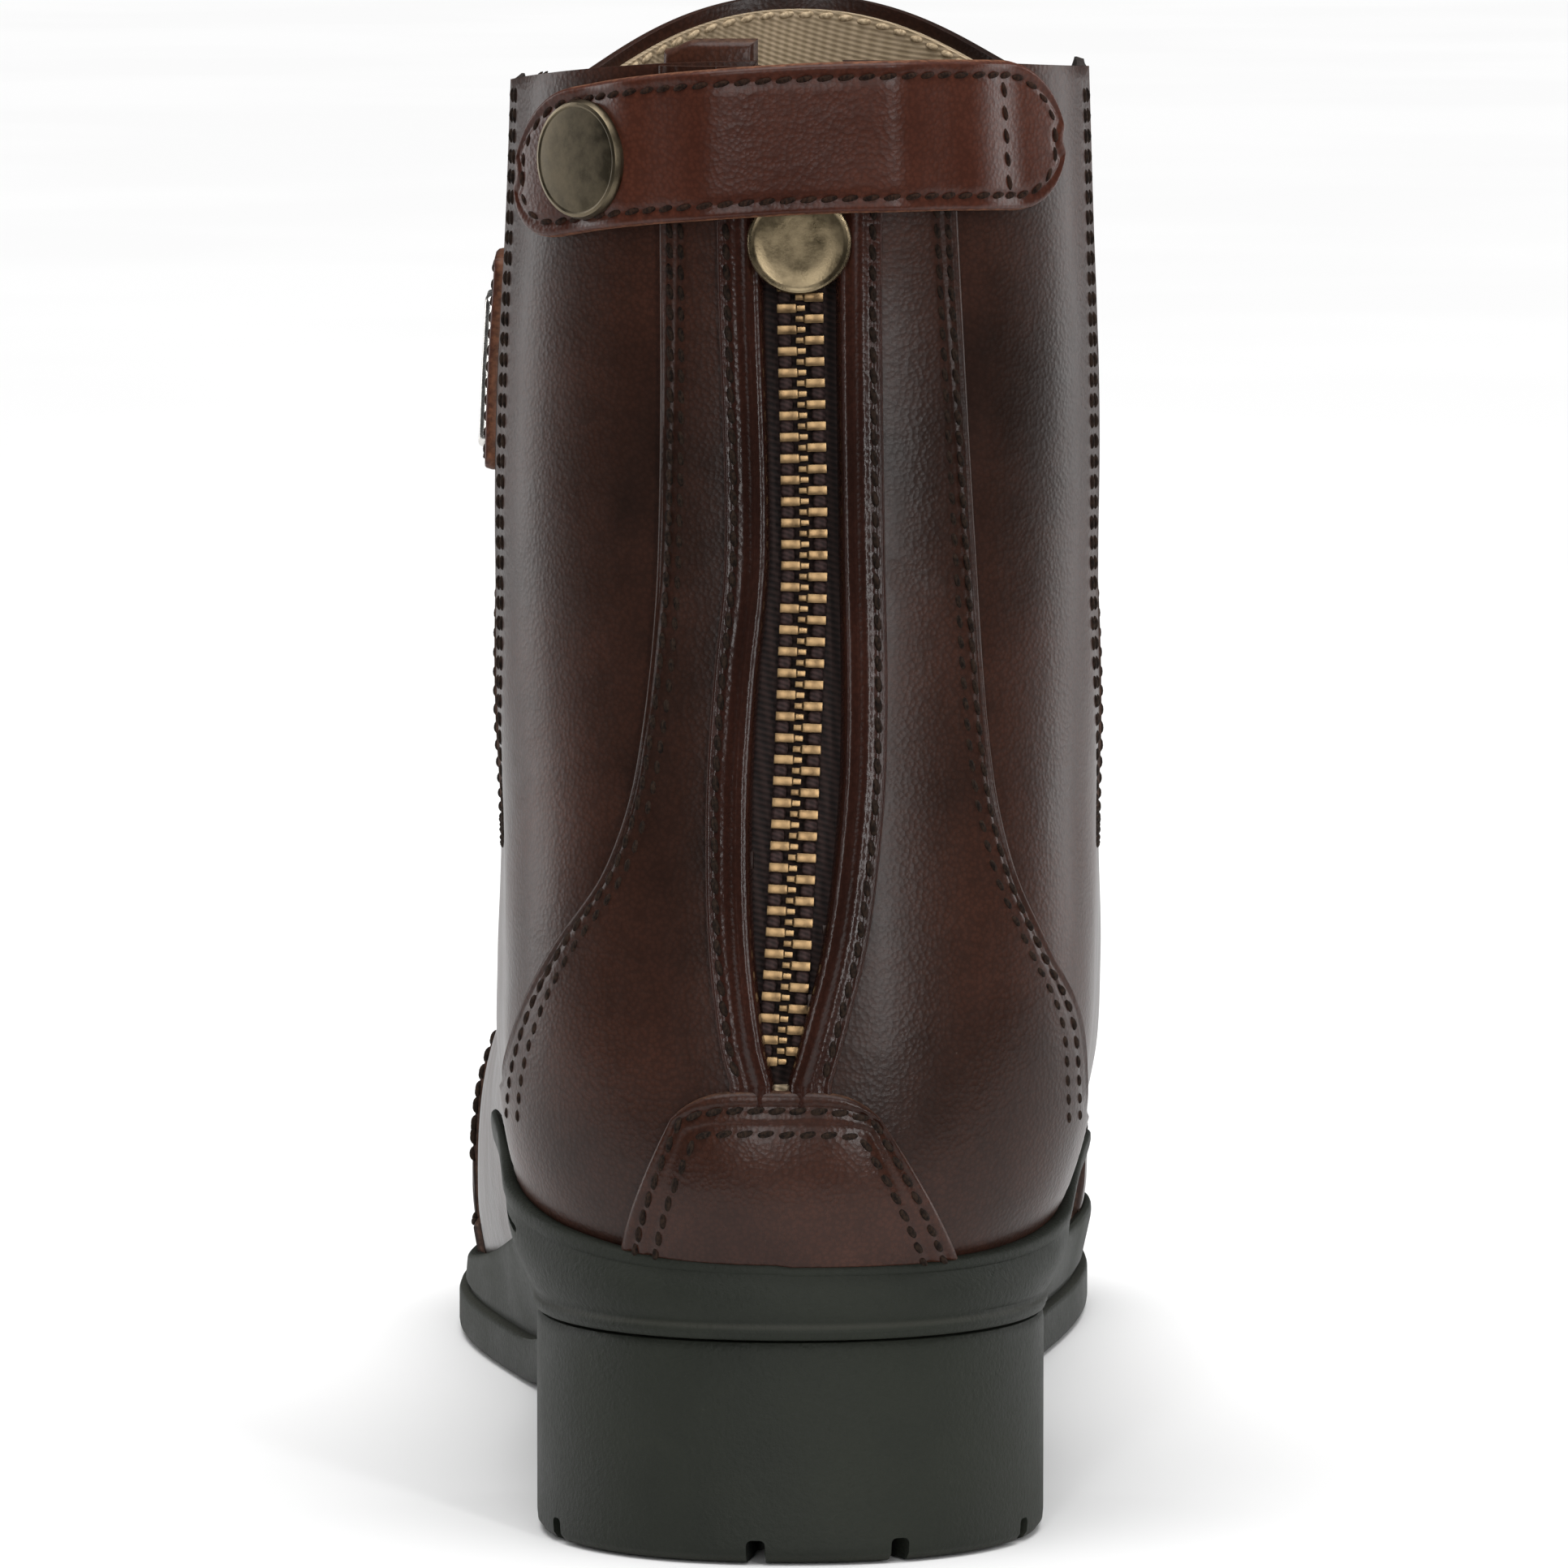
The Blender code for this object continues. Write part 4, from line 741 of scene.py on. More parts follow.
# A closed panel: a grid extruded once and laid over the last. place(s, t, lift) gives its points at
# shares s across and t along. Its upper face is rounded down to each edge that isn't in keep, and
# pressed in along stitch rows that run at the distances in grooves from those edges.
def layPanel(across, along, place, thickness, roundOver, keep=(), grooves=()):
    piece = addGrid(across, along)
    with editing(piece):
        bpy.ops.mesh.extrude_region_move(TRANSFORM_OT_translate={"value": (0.0, 0.0, 1.0)})
    flat = readPoints(piece)
    column = np.rint(flat[:, 0] * across).astype(int)
    row = np.rint(flat[:, 1] * along).astype(int)
    top = flat[:, 2] > 0.5
    s, t = np.meshgrid(crowded(across), crowded(along))
    under = place(s, t, 0.0 * s)
    left = np.pad(np.cumsum(np.linalg.norm(np.diff(under, axis=1), axis=2), axis=1), ((0, 0), (1, 0)))
    low = np.pad(np.cumsum(np.linalg.norm(np.diff(under, axis=0), axis=2), axis=0), ((1, 0), (0, 0)))
    reach = {"left": left, "right": left[:, -1:] - left, "low": low, "high": low[-1:] - low}
    away = np.full(s.shape, 1.0)
    for side, distance in reach.items():
        if side not in keep:
            away = np.minimum(away, distance)
    lift = thickness * between(groove.edgeShare, 1.0, roundEnd(away, roundOver, 2.0))
    for inset in grooves:
        lift = lift - groove.depth * hump(away, inset, groove.width)
    over = place(s, t, lift)
    writePoints(piece, np.where(top[:, None], over[row, column], under[row, column]))
    worn = clamp(1.0 - away / roundOver)
    setEdge(piece, np.where(top, worn[row, column], 1.0))
    turnOutwards(piece)
    return piece


mergeReach = 0.000004


# A tube through rows, each a function from the angles round it to its points
def layTube(rows, across, closed=False):
    piece = addGrid(across, len(rows) - 1)
    flat = readPoints(piece)
    column = np.rint(flat[:, 0] * across).astype(int) % across
    row = np.rint(flat[:, 1] * (len(rows) - 1)).astype(int)
    angles = 2 * math.pi * np.arange(across) / across
    points = np.array([made(angles) for made in rows])
    writePoints(piece, points[row, column])
    with editing(piece):
        bpy.ops.mesh.remove_doubles(threshold=mergeReach)
        bpy.ops.mesh.select_all(action="SELECT")
        if closed:
            bpy.ops.mesh.normals_make_consistent(inside=False)
    return piece


def addBlock(size, centre=(0.0, 0.0, 0.0), soft=0.28):
    deselectAll()
    bpy.ops.mesh.primitive_cube_add(size=1.0, location=centre)
    piece = bpy.context.active_object
    piece.scale = size
    bpy.ops.object.transform_apply(location=True, rotation=True, scale=True)
    with editing(piece):
        bpy.ops.mesh.bevel(offset=min(size) * soft, segments=3, affect="EDGES")
    return piece


def joinPieces(pieces):
    deselectAll()
    for piece in pieces:
        piece.select_set(True)
    bpy.context.view_layer.objects.active = pieces[0]
    bpy.ops.object.join()
    return bpy.context.active_object


def placeMesh(piece, matrix):
    piece.data.transform(matrix)
    piece.data.update()


# A round piece spun from a profile of radius and height
def spinProfile(profile, steps, name):
    mesh = bpy.data.meshes.new(name)
    mesh.from_pydata([(r, 0.0, h) for r, h in profile], [(k, k + 1) for k in range(len(profile) - 1)], [])
    piece = addObject(name, mesh)
    with editing(piece):
        bpy.ops.mesh.spin(steps=steps, angle=2 * math.pi, center=(0, 0, 0), axis=(0, 0, 1))
    turnOutwards(piece, 0.00001)
    return piece


# Frames at points, with their first axis ahead and their third axis out
def framesAt(points, ahead, out):
    out = unit(out)
    ahead = unit(ahead - out * np.sum(ahead * out, axis=-1, keepdims=True))
    frames = np.zeros((len(points), 4, 4))
    frames[:, :3, 0] = ahead
    frames[:, :3, 1] = np.cross(out, ahead)
    frames[:, :3, 2] = out
    frames[:, :3, 3] = points
    frames[:, 3, 3] = 1.0
    return frames


# One mesh of many copies of a base piece
def copyInto(base, frames, name):
    count = len(base.data.vertices)
    points = np.c_[readPoints(base), np.ones(count)]
    placed = np.einsum("fij,vj->fvi", frames, points)[:, :, :3].reshape(-1, 3)
    faces = [tuple(face.vertices) for face in base.data.polygons]
    allFaces = [tuple(i + k * count for i in face) for k in range(len(frames)) for face in faces]
    mesh = bpy.data.meshes.new(name)
    mesh.from_pydata(placed.tolist(), [], allFaces)
    mesh.update()
    made = addObject(name, mesh)
    bpy.data.objects.remove(base)
    return made


# Upper
upper = Sizes(across=300, along=150, wall=0.0012, slotClear=0.0016, edgeRound=0.0003)
lining = Sizes(offset=-0.00125, thickness=0.0009, gussetClear=0.0008, slotClear=0.0042, top=0.9965)
opening = Sizes(
    leastHalf=0.003, underFoot=0.002, slotFoot=0.006, underCollar=0.001, slotReach=0.0015, gussetReach=0.004,
)


# Takes the elastics' cut-outs and the zip's slot out of a tube and draws its open edges onto their lines
def openTube(piece, offset, gussetClear, slotClear):
    def slotHalf(z):
        return np.maximum((slotEdge(z, 1, 0) - slotEdge(z, -1, 0)) / 2, opening.leastHalf) + slotClear

    def gussetAway(y, z):
        return gussetDistance(y, z) - gussetClear

    x, y, z = readPoints(piece).T
    away = gussetAway(y, z)
    atSlot = (y < 0) & (z > zipper.footZ - opening.underFoot)
    away = np.where(atSlot, np.minimum(away, np.abs(x - slotMiddle(z)) - slotHalf(z)), away)
    mesh = bmesh.new()
    mesh.from_mesh(piece.data)
    inside = [face for face in mesh.faces if sum(away[v.index] < 0 for v in face.verts) >= 3]
    bmesh.ops.delete(mesh, geom=inside, context="FACES")
    edge = [v for v in mesh.verts if v.is_boundary]
    x, y, z = np.array([v.co[:] for v in edge]).T
    slotX = slotMiddle(z) + np.sign(x - slotMiddle(z)) * slotHalf(z)
    atSlot = (y < 0) & (z > zipper.footZ - opening.slotFoot) & (z < last.collarBackZ - opening.underCollar)
    atSlot &= np.abs(x - slotX) < opening.slotReach
    slotMoved = overBack(slotX, z, offset)
    near = np.abs(gussetAway(y, z)) < opening.gussetReach
    for _ in range(3):
        here = gussetAway(y, z)
        dy = (gussetDistance(y + 1e-5, z) - gussetDistance(y - 1e-5, z)) / 2e-5
        dz = (gussetDistance(y, z + 1e-5) - gussetDistance(y, z - 1e-5)) / 2e-5
        size = np.maximum(dy * dy + dz * dz, 1e-6)
        y = y - here * dy / size
        z = z - here * dz / size
    sides = sideOf(x)
    z = np.minimum(z, lastPoint(1.0, angleForY(1.0, y, sides))[:, 2])
    moved = overSide(sides, y, z, offset)
    for k, vert in enumerate(edge):
        if near[k]:
            vert.co = moved[k]
        elif atSlot[k]:
            vert.co = slotMoved[k]
    mesh.to_mesh(piece.data)
    mesh.free()


def makeUpper():
    def rowAt(level):
        def row(angles):
            points = lastPoint(level, angles)
            press = np.zeros(len(angles))
            for inset in (0.0016, 0.0032):
                press = press - 0.00016 * hump(gussetDistance(points[:, 1], points[:, 2]), inset, 0.0006)
            return skinPoint(level, angles, press)

        return row

    levels = np.linspace(0.0, 1.0, upper.along + 1) ** 1.08
    piece = layTube([rowAt(level) for level in levels], upper.across)
    openTube(piece, 0.0, 0.0, upper.slotClear)
    applyModifier(piece, "SOLIDIFY", thickness=upper.wall, offset=-1.0)
    bevel = {"segments": 2, "limit_method": "ANGLE", "angle_limit": math.radians(55)}
    applyModifier(piece, "BEVEL", width=upper.edgeRound, **bevel)
    points = readPoints(piece)
    cut = np.clip(1.0 - np.abs(gussetDistance(points[:, 1], points[:, 2])) / 0.0007, 0.0, 0.85)
    setEdge(piece, cut)
    finishPiece(piece, "leatherUpper", leather, ["upper"])


def makeLining():
    levels = np.linspace(0.0, lining.top, 71)
    rows = [lambda angles, level=level: skinPoint(level, angles, lining.offset) for level in levels]
    piece = layTube(rows, 180)
    openTube(piece, lining.offset, lining.gussetClear, lining.slotClear)
    applyModifier(piece, "SOLIDIFY", thickness=lining.thickness, offset=-1.0)
    finishPiece(piece, "liningInside", liningTwill)


makeUpper()
makeLining()
print("stage: upper and lining")


# Overlays on the back
overlay = Sizes(counter=0.0012, facing=0.0010, patch=0.0013, onUpper=0.00005, onCounter=0.00120)
footShares = np.linspace(-1.0, 1.0, 81)
footReach = 0.0375
footHeights = rimFoot(footShares * footReach, -0.0012)


def footAt(x):
    return np.interp(x, footShares * footReach, footHeights)


def makeCounter(side, name):
    def place(s, t, lift):
        foot = footAt(counterEdge(0.0, side) * s * 0.98)
        top = lastPoint(1.0, angleForX(1.0, side * 0.012 + 0.0 * s))[..., 2] - 0.0004
        z = between(foot, top, t)
        inner = np.where(z < zipper.footZ - 0.0005, slotMiddle(z), slotEdge(z, side, 0.0012))
        return overBack(between(inner, counterEdge(z, side), s), z, overlay.onUpper + lift)

    piece = layPanel(60, 200, place, overlay.counter, 0.0008, ("left", "low", "high"), (0.0014, 0.0028))
    finishPiece(piece, name, leather, ["counter"])


facing = Sizes(start=0.0007, width=0.0056, ridge=0.0019, rise=0.00055, groove=0.00020, footBelow=0.003)


def makeFacing(side, name):
    def place(s, t, lift):
        z = between(zipper.footZ - facing.footBelow, last.collarBackZ - 0.0006, t)
        x = between(slotEdge(z, side, facing.start), slotEdge(z, side, facing.width), s)
        away = s * (facing.width - facing.start)
        ridge = facing.rise * hump(away, facing.ridge - facing.start, 0.0005)
        ridge = ridge - facing.groove * hump(away, 0.0026, 0.0006)
        return overBack(x, z, overlay.onCounter + lift + np.where(lift > 0, ridge, 0.0))

    piece = layPanel(30, 180, place, overlay.facing, 0.0005, ("left", "low", "high"), (0.0012,))
    finishPiece(piece, name, facingLeather, ["zip_facing"])


# The rolled lip beside the zip: a soft oval bead that runs up the slot's edge and hides its raw wall
lip = Sizes(steps=120, across=20, margin=0.0002, halfWidth=0.0006, halfHeight=0.0025, middle=-0.0004)


def makeLip(side, name):
    def rowAt(share):
        def row(angles):
            z = between(zipper.footZ - facing.footBelow, last.collarBackZ - 0.0008, share) + 0.0 * angles
            x = slotEdge(z, side, lip.margin) + side * lip.halfWidth * (1 - np.cos(angles))
            return overBack(x, z, lip.middle + lip.halfHeight * np.sin(angles))

        return row

    rows = [rowAt(k / lip.steps) for k in range(lip.steps + 1)]

    def capRow(share):
        return lambda angles: rowAt(share)(angles).mean(axis=0) + np.zeros((len(angles), 3))

    piece = layTube([capRow(0.0)] + rows + [capRow(1.0)], lip.across, True)
    finishPiece(piece, name, facingLeather, ["zip_facing"], angle=60)


patch = Sizes(topZ=0.0597, topX=-0.0017, topHalf=0.0126, footHalf=0.0202, drop=0.0036, puff=0.0009)


def patchPlace(s, t, lift):
    turn = 2 * s - 1
    half = between(patch.footHalf, patch.topHalf, t**1.35)
    x = between(0.0, patch.topX, t) + turn * half
    z = between(footAt(turn * patch.footHalf), patch.topZ - patch.drop * np.abs(turn) ** 4, t)
    puff = patch.puff * (1.0 - turn**4) * np.sin(math.pi * t) * (lift > 0)
    return overBack(x, z, overlay.onCounter + lift + puff)


for side, tail in ((-1, "Lateral"), (1, "Medial")):
    makeCounter(side, "counter" + tail)
    makeFacing(side, "facing" + tail)
    makeLip(side, "lip" + tail)
patchPiece = layPanel(70, 50, patchPlace, overlay.patch, 0.0009, ("low",), (0.0020, 0.0044))
finishPiece(patchPiece, "heelPatchSkin", patchLeather, ["heel_patch"])
print("stage: overlays on the back")

# Toe cap
toeCap = Sizes(length=0.050, sweep=0.009, thickness=0.0011, turn=1.02, grid=(130, 50), levels=(0.05, 0.62))


def capTop(angle):
    high = np.full(np.shape(angle), 0.4)
    for _ in range(6):
        across = lastPoint(high, angle)[..., 0] / (last.ballWidth * 0.6)
        edgeY = last.upperToeY - toeCap.length - toeCap.sweep * across**2
        low, high = (np.full(np.shape(angle), level) for level in toeCap.levels)
        high = halve(lambda level: lastPoint(level, angle)[..., 1] > edgeY, low, high, 13)[1]
    return high


# s runs round the toe, t from the rim up to the cap's edge
def capPlace(s, t, lift):
    s, t = np.broadcast_arrays(s, t)
    column = s[0] if s.ndim == 2 else s
    angle = math.pi + (2 * column - 1) * toeCap.turn
    level = between(rimLevel(angle, -0.0010), capTop(angle), t)
    return skinPoint(level, np.broadcast_to(angle, level.shape), 0.0001 + lift)


capPiece = layPanel(*toeCap.grid, capPlace, toeCap.thickness, 0.0008, ("low",), (0.0016, 0.0034))
finishPiece(capPiece, "toeCapSkin", leather, ["toe_cap"])
print("stage: toe cap")


# Elastic and the badge on it
def makeElastic(side, name, node):
    def place(s, t, lift):
        radius = elastics.width / 2
        foot = elastics.footZ - 0.0012
        z = between(foot, last.collarBackZ + 0.001, 1.0 - np.cos(math.pi / 2 * t))
        half = (radius + 0.0004) * roundEnd(z - foot + 0.0003, radius * 1.5, 2.0)
        y = elastics.y + side * (2 * s - 1) * half
        z = np.minimum(z, lastPoint(1.0, angleForY(1.0, y, side))[..., 2] - 0.0006)
        rib = 0.00010 * np.sin((2 * s - 1) * half / 0.00115 * 2 * math.pi) * (lift > 0)
        return overSide(side, y, z, lift + rib - elastics.sink - elastics.thickness)

    piece = layPanel(150, 70, place, elastics.thickness, 0.0005, ("left", "right", "low"))
    finishPiece(piece, name, elastic, [node])


makeElastic(-1, "elasticLateral", "elastic_lateral")
makeElastic(1, "elasticMedial", "elastic_medial")
badge = Sizes(tabZ=0.1475, tab=(0.021, 0.0275), plateZ=0.1462, plate=(0.015, 0.0195), thick=0.0014)
badge.update(base=0.0001 - elastics.sink)


# Places on a rectangle with round corners, from shares across and up
def roundedShares(s, t, size, corner):
    width, height = size
    x = (s - 0.5) * width
    z = (t - 0.5) * height
    overX = np.maximum(np.abs(x) - (width / 2 - corner), 0.0)
    overZ = np.maximum(np.abs(z) - (height / 2 - corner), 0.0)
    pull = np.maximum(overX, overZ) / np.maximum(np.hypot(overX, overZ), 1e-9)
    x = np.where((overX > 0) & (overZ > 0), np.copysign(width / 2 - corner + overX * pull, x), x)
    z = np.where((overX > 0) & (overZ > 0), np.copysign(height / 2 - corner + overZ * pull, z), z)
    return x, z


def makeSidePanel(name, middleZ, size, corner, base, thickness, dish, finish, node, grooves=()):
    def place(s, t, lift):
        x, z = roundedShares(s, t, size, corner)
        hollow = dish * np.exp(-((x / size[0] * 2.4) ** 4) - (z / size[1] * 2.4) ** 4) * (lift > 0)
        return overSide(-1, elastics.y - x, middleZ + z, base + lift - hollow)

    piece = layPanel(34, 40, place, thickness, 0.0006, (), grooves)
    finishPiece(piece, name, finish, [node])


makeSidePanel(
    "badgeTab", badge.tabZ, badge.tab, 0.0022, badge.base, badge.thick, 0.0,
    strapLeather, "side_tab", (0.0016,),
)
makeSidePanel(
    "badgePlate", badge.plateZ, badge.plate, 0.0016, badge.base + badge.thick, 0.0009, 0.0003,
    plateMetal, "side_plate",
)
print("stage: elastic and badge")


# Zip
def tapePlace(s, t, lift):
    z = between(zipper.footZ - 0.002, last.collarBackZ - 0.001, t)
    return overBack(slotMiddle(z) + (2 * s - 1) * tape.half, z, lift - tape.inside)


tape = Sizes(half=0.0118, inside=0.0030, thickness=0.0009)
tapePiece = layPanel(60, 90, tapePlace, tape.thickness, 0.0003)
finishPiece(tapePiece, "zipTapeSkin", tapeWeave, ["zip_tape"])


# Frames on the back with x across the zip, y inwards and z up it
def zipFrames(z, offset):
    z = np.atleast_1d(np.asarray(z, dtype=float))
    x = slotMiddle(z)
    step = 0.002
    up = overBack(slotMiddle(z + step), z + step, 0.0) - overBack(slotMiddle(z - step), z - step, 0.0)
    out = np.cross(np.array([1.0, 0.0, 0.0]), up)
    frames = framesAt(overBack(x, z, offset), up, out)
    turned = frames.copy()
    turned[:, :3, 0] = -frames[:, :3, 1]
    turned[:, :3, 1] = -frames[:, :3, 2]
    turned[:, :3, 2] = frames[:, :3, 0]
    return turned


tooth = Sizes(bar=0.0024, deep=0.0011, nib=0.0010, nibScale=(1.0, 0.8, 0.66), middle=0.00172, round=0.00018)


# One tooth, modelled once: a bar with a narrower nib at its inner end
def baseTooth():
    deselectAll()
    bpy.ops.mesh.primitive_cube_add(size=1.0)
    piece = bpy.context.active_object
    piece.scale = (tooth.bar, tooth.deep, zipper.tooth)
    bpy.ops.object.transform_apply(location=False, rotation=False, scale=True)
    for face in piece.data.polygons:
        face.select = face.normal.x < -0.5
    for line in piece.data.edges:
        line.select = False
    for vert in piece.data.vertices:
        vert.select = vert.co.x < 0
    bpy.ops.object.mode_set(mode="EDIT")
    bpy.ops.mesh.select_mode(type="VERT")
    bpy.ops.mesh.extrude_region_move(TRANSFORM_OT_translate={"value": (-0.00015, 0.0, 0.0)})
    bpy.ops.transform.resize(value=tooth.nibScale, center_override=(-tooth.bar / 2, 0.0, 0.0))
    bpy.ops.mesh.extrude_region_move(TRANSFORM_OT_translate={"value": (-tooth.nib, 0.0, 0.0)})
    bpy.ops.object.mode_set(mode="OBJECT")
    applyModifier(piece, "BEVEL", width=tooth.round, segments=2)
    return piece


def toothHeights(side):
    first = zipper.footZ + zipper.pitch * (1.0 if side < 0 else 1.5)
    return np.arange(first, zipper.sliderZ - 0.001, zipper.pitch)


def makeTeeth(side, name, node):
    frames = zipFrames(toothHeights(side), -0.0012)
    turn = np.diag([side, side, 1.0, 1.0])
    turn[0, 3] = side * tooth.middle
    piece = copyInto(baseTooth(), frames @ turn, name)
    setEdge(piece, 0.5)
    finishPiece(piece, name, brassTeeth, [node])


# The cord that the teeth grip, seen as small cushions between them
def makeBead(side, name):
    frames = zipFrames(toothHeights(side)[:-1] + zipper.pitch / 2, -0.0015)
    turn = np.eye(4)
    turn[0, 3] = side * (tooth.middle + 0.0003)
    base = addBlock((0.0017, 0.0013, zipper.pitch * 0.62), (0, 0, 0), 0.42)
    piece = copyInto(base, frames @ turn, name)
    finishPiece(piece, name, beadWeave, angle=60)


for side, tail, node in ((-1, "Lateral", "zip_teeth_lateral"), (1, "Medial", "zip_teeth_medial")):
    makeTeeth(side, "teeth" + tail, node)
    makeBead(side, "bead" + tail)
print("stage: zip teeth")


def zipMatrix(z, offset):
    return Matrix(zipFrames(z, offset)[0].tolist())


slider = Sizes(pivot=0.0020, disc=0.013, thick=0.0012, drop=0.0102, discOut=0.0033)


def makeSlider():
    pivot = slider.pivot
    blocks = [
        addBlock((0.0082, 0.0011, 0.0115), (0, -0.00065, 0)),
        addBlock((0.0009, 0.0019, 0.0110), (-0.0037, 0.0001, 0)),
        addBlock((0.0009, 0.0019, 0.0110), (0.0037, 0.0001, 0)),
        addBlock((0.0017, 0.0010, 0.0066), (0, -(pivot + 0.00135), 0)),
        addBlock((0.0016, 0.0026, 0.0011), (0, -0.0020, 0.0027)),
        addBlock((0.0016, 0.0026, 0.0011), (0, -0.0020, -0.0027)),
    ]
    piece = joinPieces(blocks)
    placeMesh(piece, zipMatrix(zipper.sliderZ, 0.0))
    setEdge(piece, 0.4)
    finishPiece(piece, "sliderBody", darkBrass, ["zip_slider"])


# Profile of the pull's disc, in shares of its radius and of half its thickness
discRows = columns(
    "out up",
    (0.00, 0.50),
    (0.50, 0.48),
    (0.84, 0.42),
    (0.89, 0.75),
    (0.93, 1.00),
    (0.97, 0.85),
    (1.00, 0.30),
    (1.00, -0.30),
    (0.96, -1.00),
    (0.00, -1.00),
)


def makePull():
    radius = slider.disc / 2
    half = slider.thick / 2
    disc = spinProfile([(radius * out, half * up) for out, up in tableRows(discRows)], 72, "disc")
    points = readPoints(disc)
    rim = np.hypot(points[:, 0], points[:, 1]) / radius
    setEdge(disc, np.clip((rim - 0.86) / 0.06, 0.25, 0.9))
    out = slider.discOut - slider.pivot
    placeMesh(disc, Matrix.Translation((0, -out, -slider.drop)) @ Matrix.Rotation(math.pi / 2, 4, "X"))
    drop = slider.drop - radius * 0.80
    blocks = [disc, addBlock((0.0044, 0.00115, 0.00115))]
    for side in (-1, 1):
        arm = addBlock((0.0011, 0.0011, drop + 0.0014), (side * 0.00165, 0, -drop / 2))
        placeMesh(arm, Matrix.Rotation(math.atan2(out, drop), 4, "X"))
        blocks.append(arm)
    piece = joinPieces(blocks)
    placeMesh(piece, zipMatrix(zipper.sliderZ, slider.pivot))
    finishPiece(piece, "pullDisc", pullBrass, ["zip_pull"], pullBody)


makeSlider()
makePull()
print("stage: slider and pull")

# Strap and snap
strap = Sizes(
    z=0.1780, height=0.0188, thickness=0.0018, tilt=3.0, sag=0.0032, lateral=0.0398, medial=0.0356,
    flat=0.0095, radius=0.036, slack=0.0009, seat=0.0009,
    overPull=0.0021, overFacing=0.0018, snapArc=-0.0270, snapRadius=0.0075,
)
strapLevel = float(levelForZ(strap.z, lambda at: 0.0))
strapAngles = np.linspace(-1.6, 1.6, 641)
strapTrack = lastPoint(strapLevel, strapAngles)
strapArcs = np.pad(np.cumsum(np.linalg.norm(np.diff(strapTrack, axis=0), axis=1)), (1, 0))
strapArcs = strapArcs - np.interp(0.0, strapAngles, strapArcs)


def strapLift(arc):
    arc = np.abs(arc)
    flat = (strap.flat * np.tanh(arc / strap.flat)) ** 2 / (2 * strap.radius)
    overZip = slider.pivot + strap.overPull + strap.slack + flat
    overFacing = strap.seat + strap.overFacing + strap.slack
    near = between(overZip, overFacing, ease((arc - strap.flat) / strap.flat))
    return between(near, strap.seat, ease((arc - strap.flat * 2) / strap.flat))


def overStrap(arc, height, lift):
    arc, height, lift = np.broadcast_arrays(arc, height, lift)
    angle = np.interp(arc, strapArcs, strapAngles)
    z = strap.z + math.tan(math.radians(strap.tilt)) * arc - strap.sag * (arc / strap.lateral) ** 2 + height
    level = levelForZ(np.minimum(z, lastPoint(1.0, angle)[..., 2]), lambda at: angle)
    points = lastPoint(level, angle) + lastNormal(level, angle) * (strapLift(arc) + lift)[..., None]
    points[..., 2] = z
    return points


def strapPlace(s, t, lift):
    middle = (strap.medial - strap.lateral) / 2
    reach = (strap.medial + strap.lateral) / 2
    arc = middle + reach * np.sin(math.pi / 2 * (2 * s - 1) * 0.999)
    end = np.minimum(arc + strap.lateral, strap.medial - arc)
    half = strap.height / 2 * roundEnd(end + 0.00012, strap.height / 2, 2.0)
    return overStrap(arc, (2 * t - 1) * half, lift)


strapPiece = layPanel(260, 44, strapPlace, strap.thickness, 0.0007, (), (0.0019,))
finishPiece(strapPiece, "strapSkin", strapLeather, ["strap"])


# Profile of the snap's cap, in shares of its radius and in millimetres
capRows = columns(
    "out up",
    (0.000, 2.05),
    (0.300, 2.00),
    (0.600, 1.85),
    (0.800, 1.68),
    (0.870, 1.55),
    (0.905, 1.68),
    (0.955, 1.55),
    (0.990, 1.00),
    (1.000, 0.50),
    (0.980, 0.00),
    (0.000, 0.00),
)


def makeSnap():
    radius = strap.snapRadius
    arcs = strap.snapArc + radius * np.array([-1.0, 0.0, 1.0])
    edges = overStrap(arcs, 0.0, strap.thickness)
    along = unit(edges[2] - edges[0])
    out = unit(np.cross(along, np.array([0.0, 0.0, 1.0])))
    rise = max(0.0, float((edges[1] - edges[0]) @ out))
    point = (edges[0] + edges[2]) / 2 + out * (rise - 0.0002)
    piece = spinProfile([(radius * out, up / 1000) for out, up in tableRows(capRows)], 72, "snapCap")
    points = readPoints(piece)
    setEdge(piece, np.clip((np.hypot(points[:, 0], points[:, 1]) / radius - 0.86) / 0.06, 0.1, 0.95))
    placeMesh(piece, Matrix.Translation(point) @ Vector(out).to_track_quat("Z", "Y").to_matrix().to_4x4())
    finishPiece(piece, "snapCap", darkBrass, ["strap_snap"])


makeSnap()
print("stage: strap and snap")


# The small leather tab folded behind the collar
collarTab = Sizes(
    x=-0.0112, width=0.013, below=0.009, above=0.0022, inside=0.0058, thickness=0.0022,
    bulge=0.0006, droop=0.0012,
)


def tabPlace(s, t, lift):
    z = last.collarBackZ + between(-collarTab.below, collarTab.above, t)
    bulge = collarTab.bulge * np.sin(math.pi * t) * (lift > 0)
    droop = collarTab.droop * ease((0.35 - s) / 0.35) * t
    return overBack(collarTab.x + (s - 0.5) * collarTab.width, z - droop, lift + bulge - collarTab.inside)


tabPiece = layPanel(30, 30, tabPlace, collarTab.thickness, 0.0010)
finishPiece(tabPiece, "collarTabSkin", patchLeather, ["collar_tab"])

# Rubber cup and outsole
sole = Sizes(across=260, rim=0.0024, step=0.0009, edge=0.0012)


def soleLayer(y):
    return between(sole.edge * 1.5, last.outsoleLayer, ease((y - last.waistY * 0.5) / (last.waistY * 0.8)))


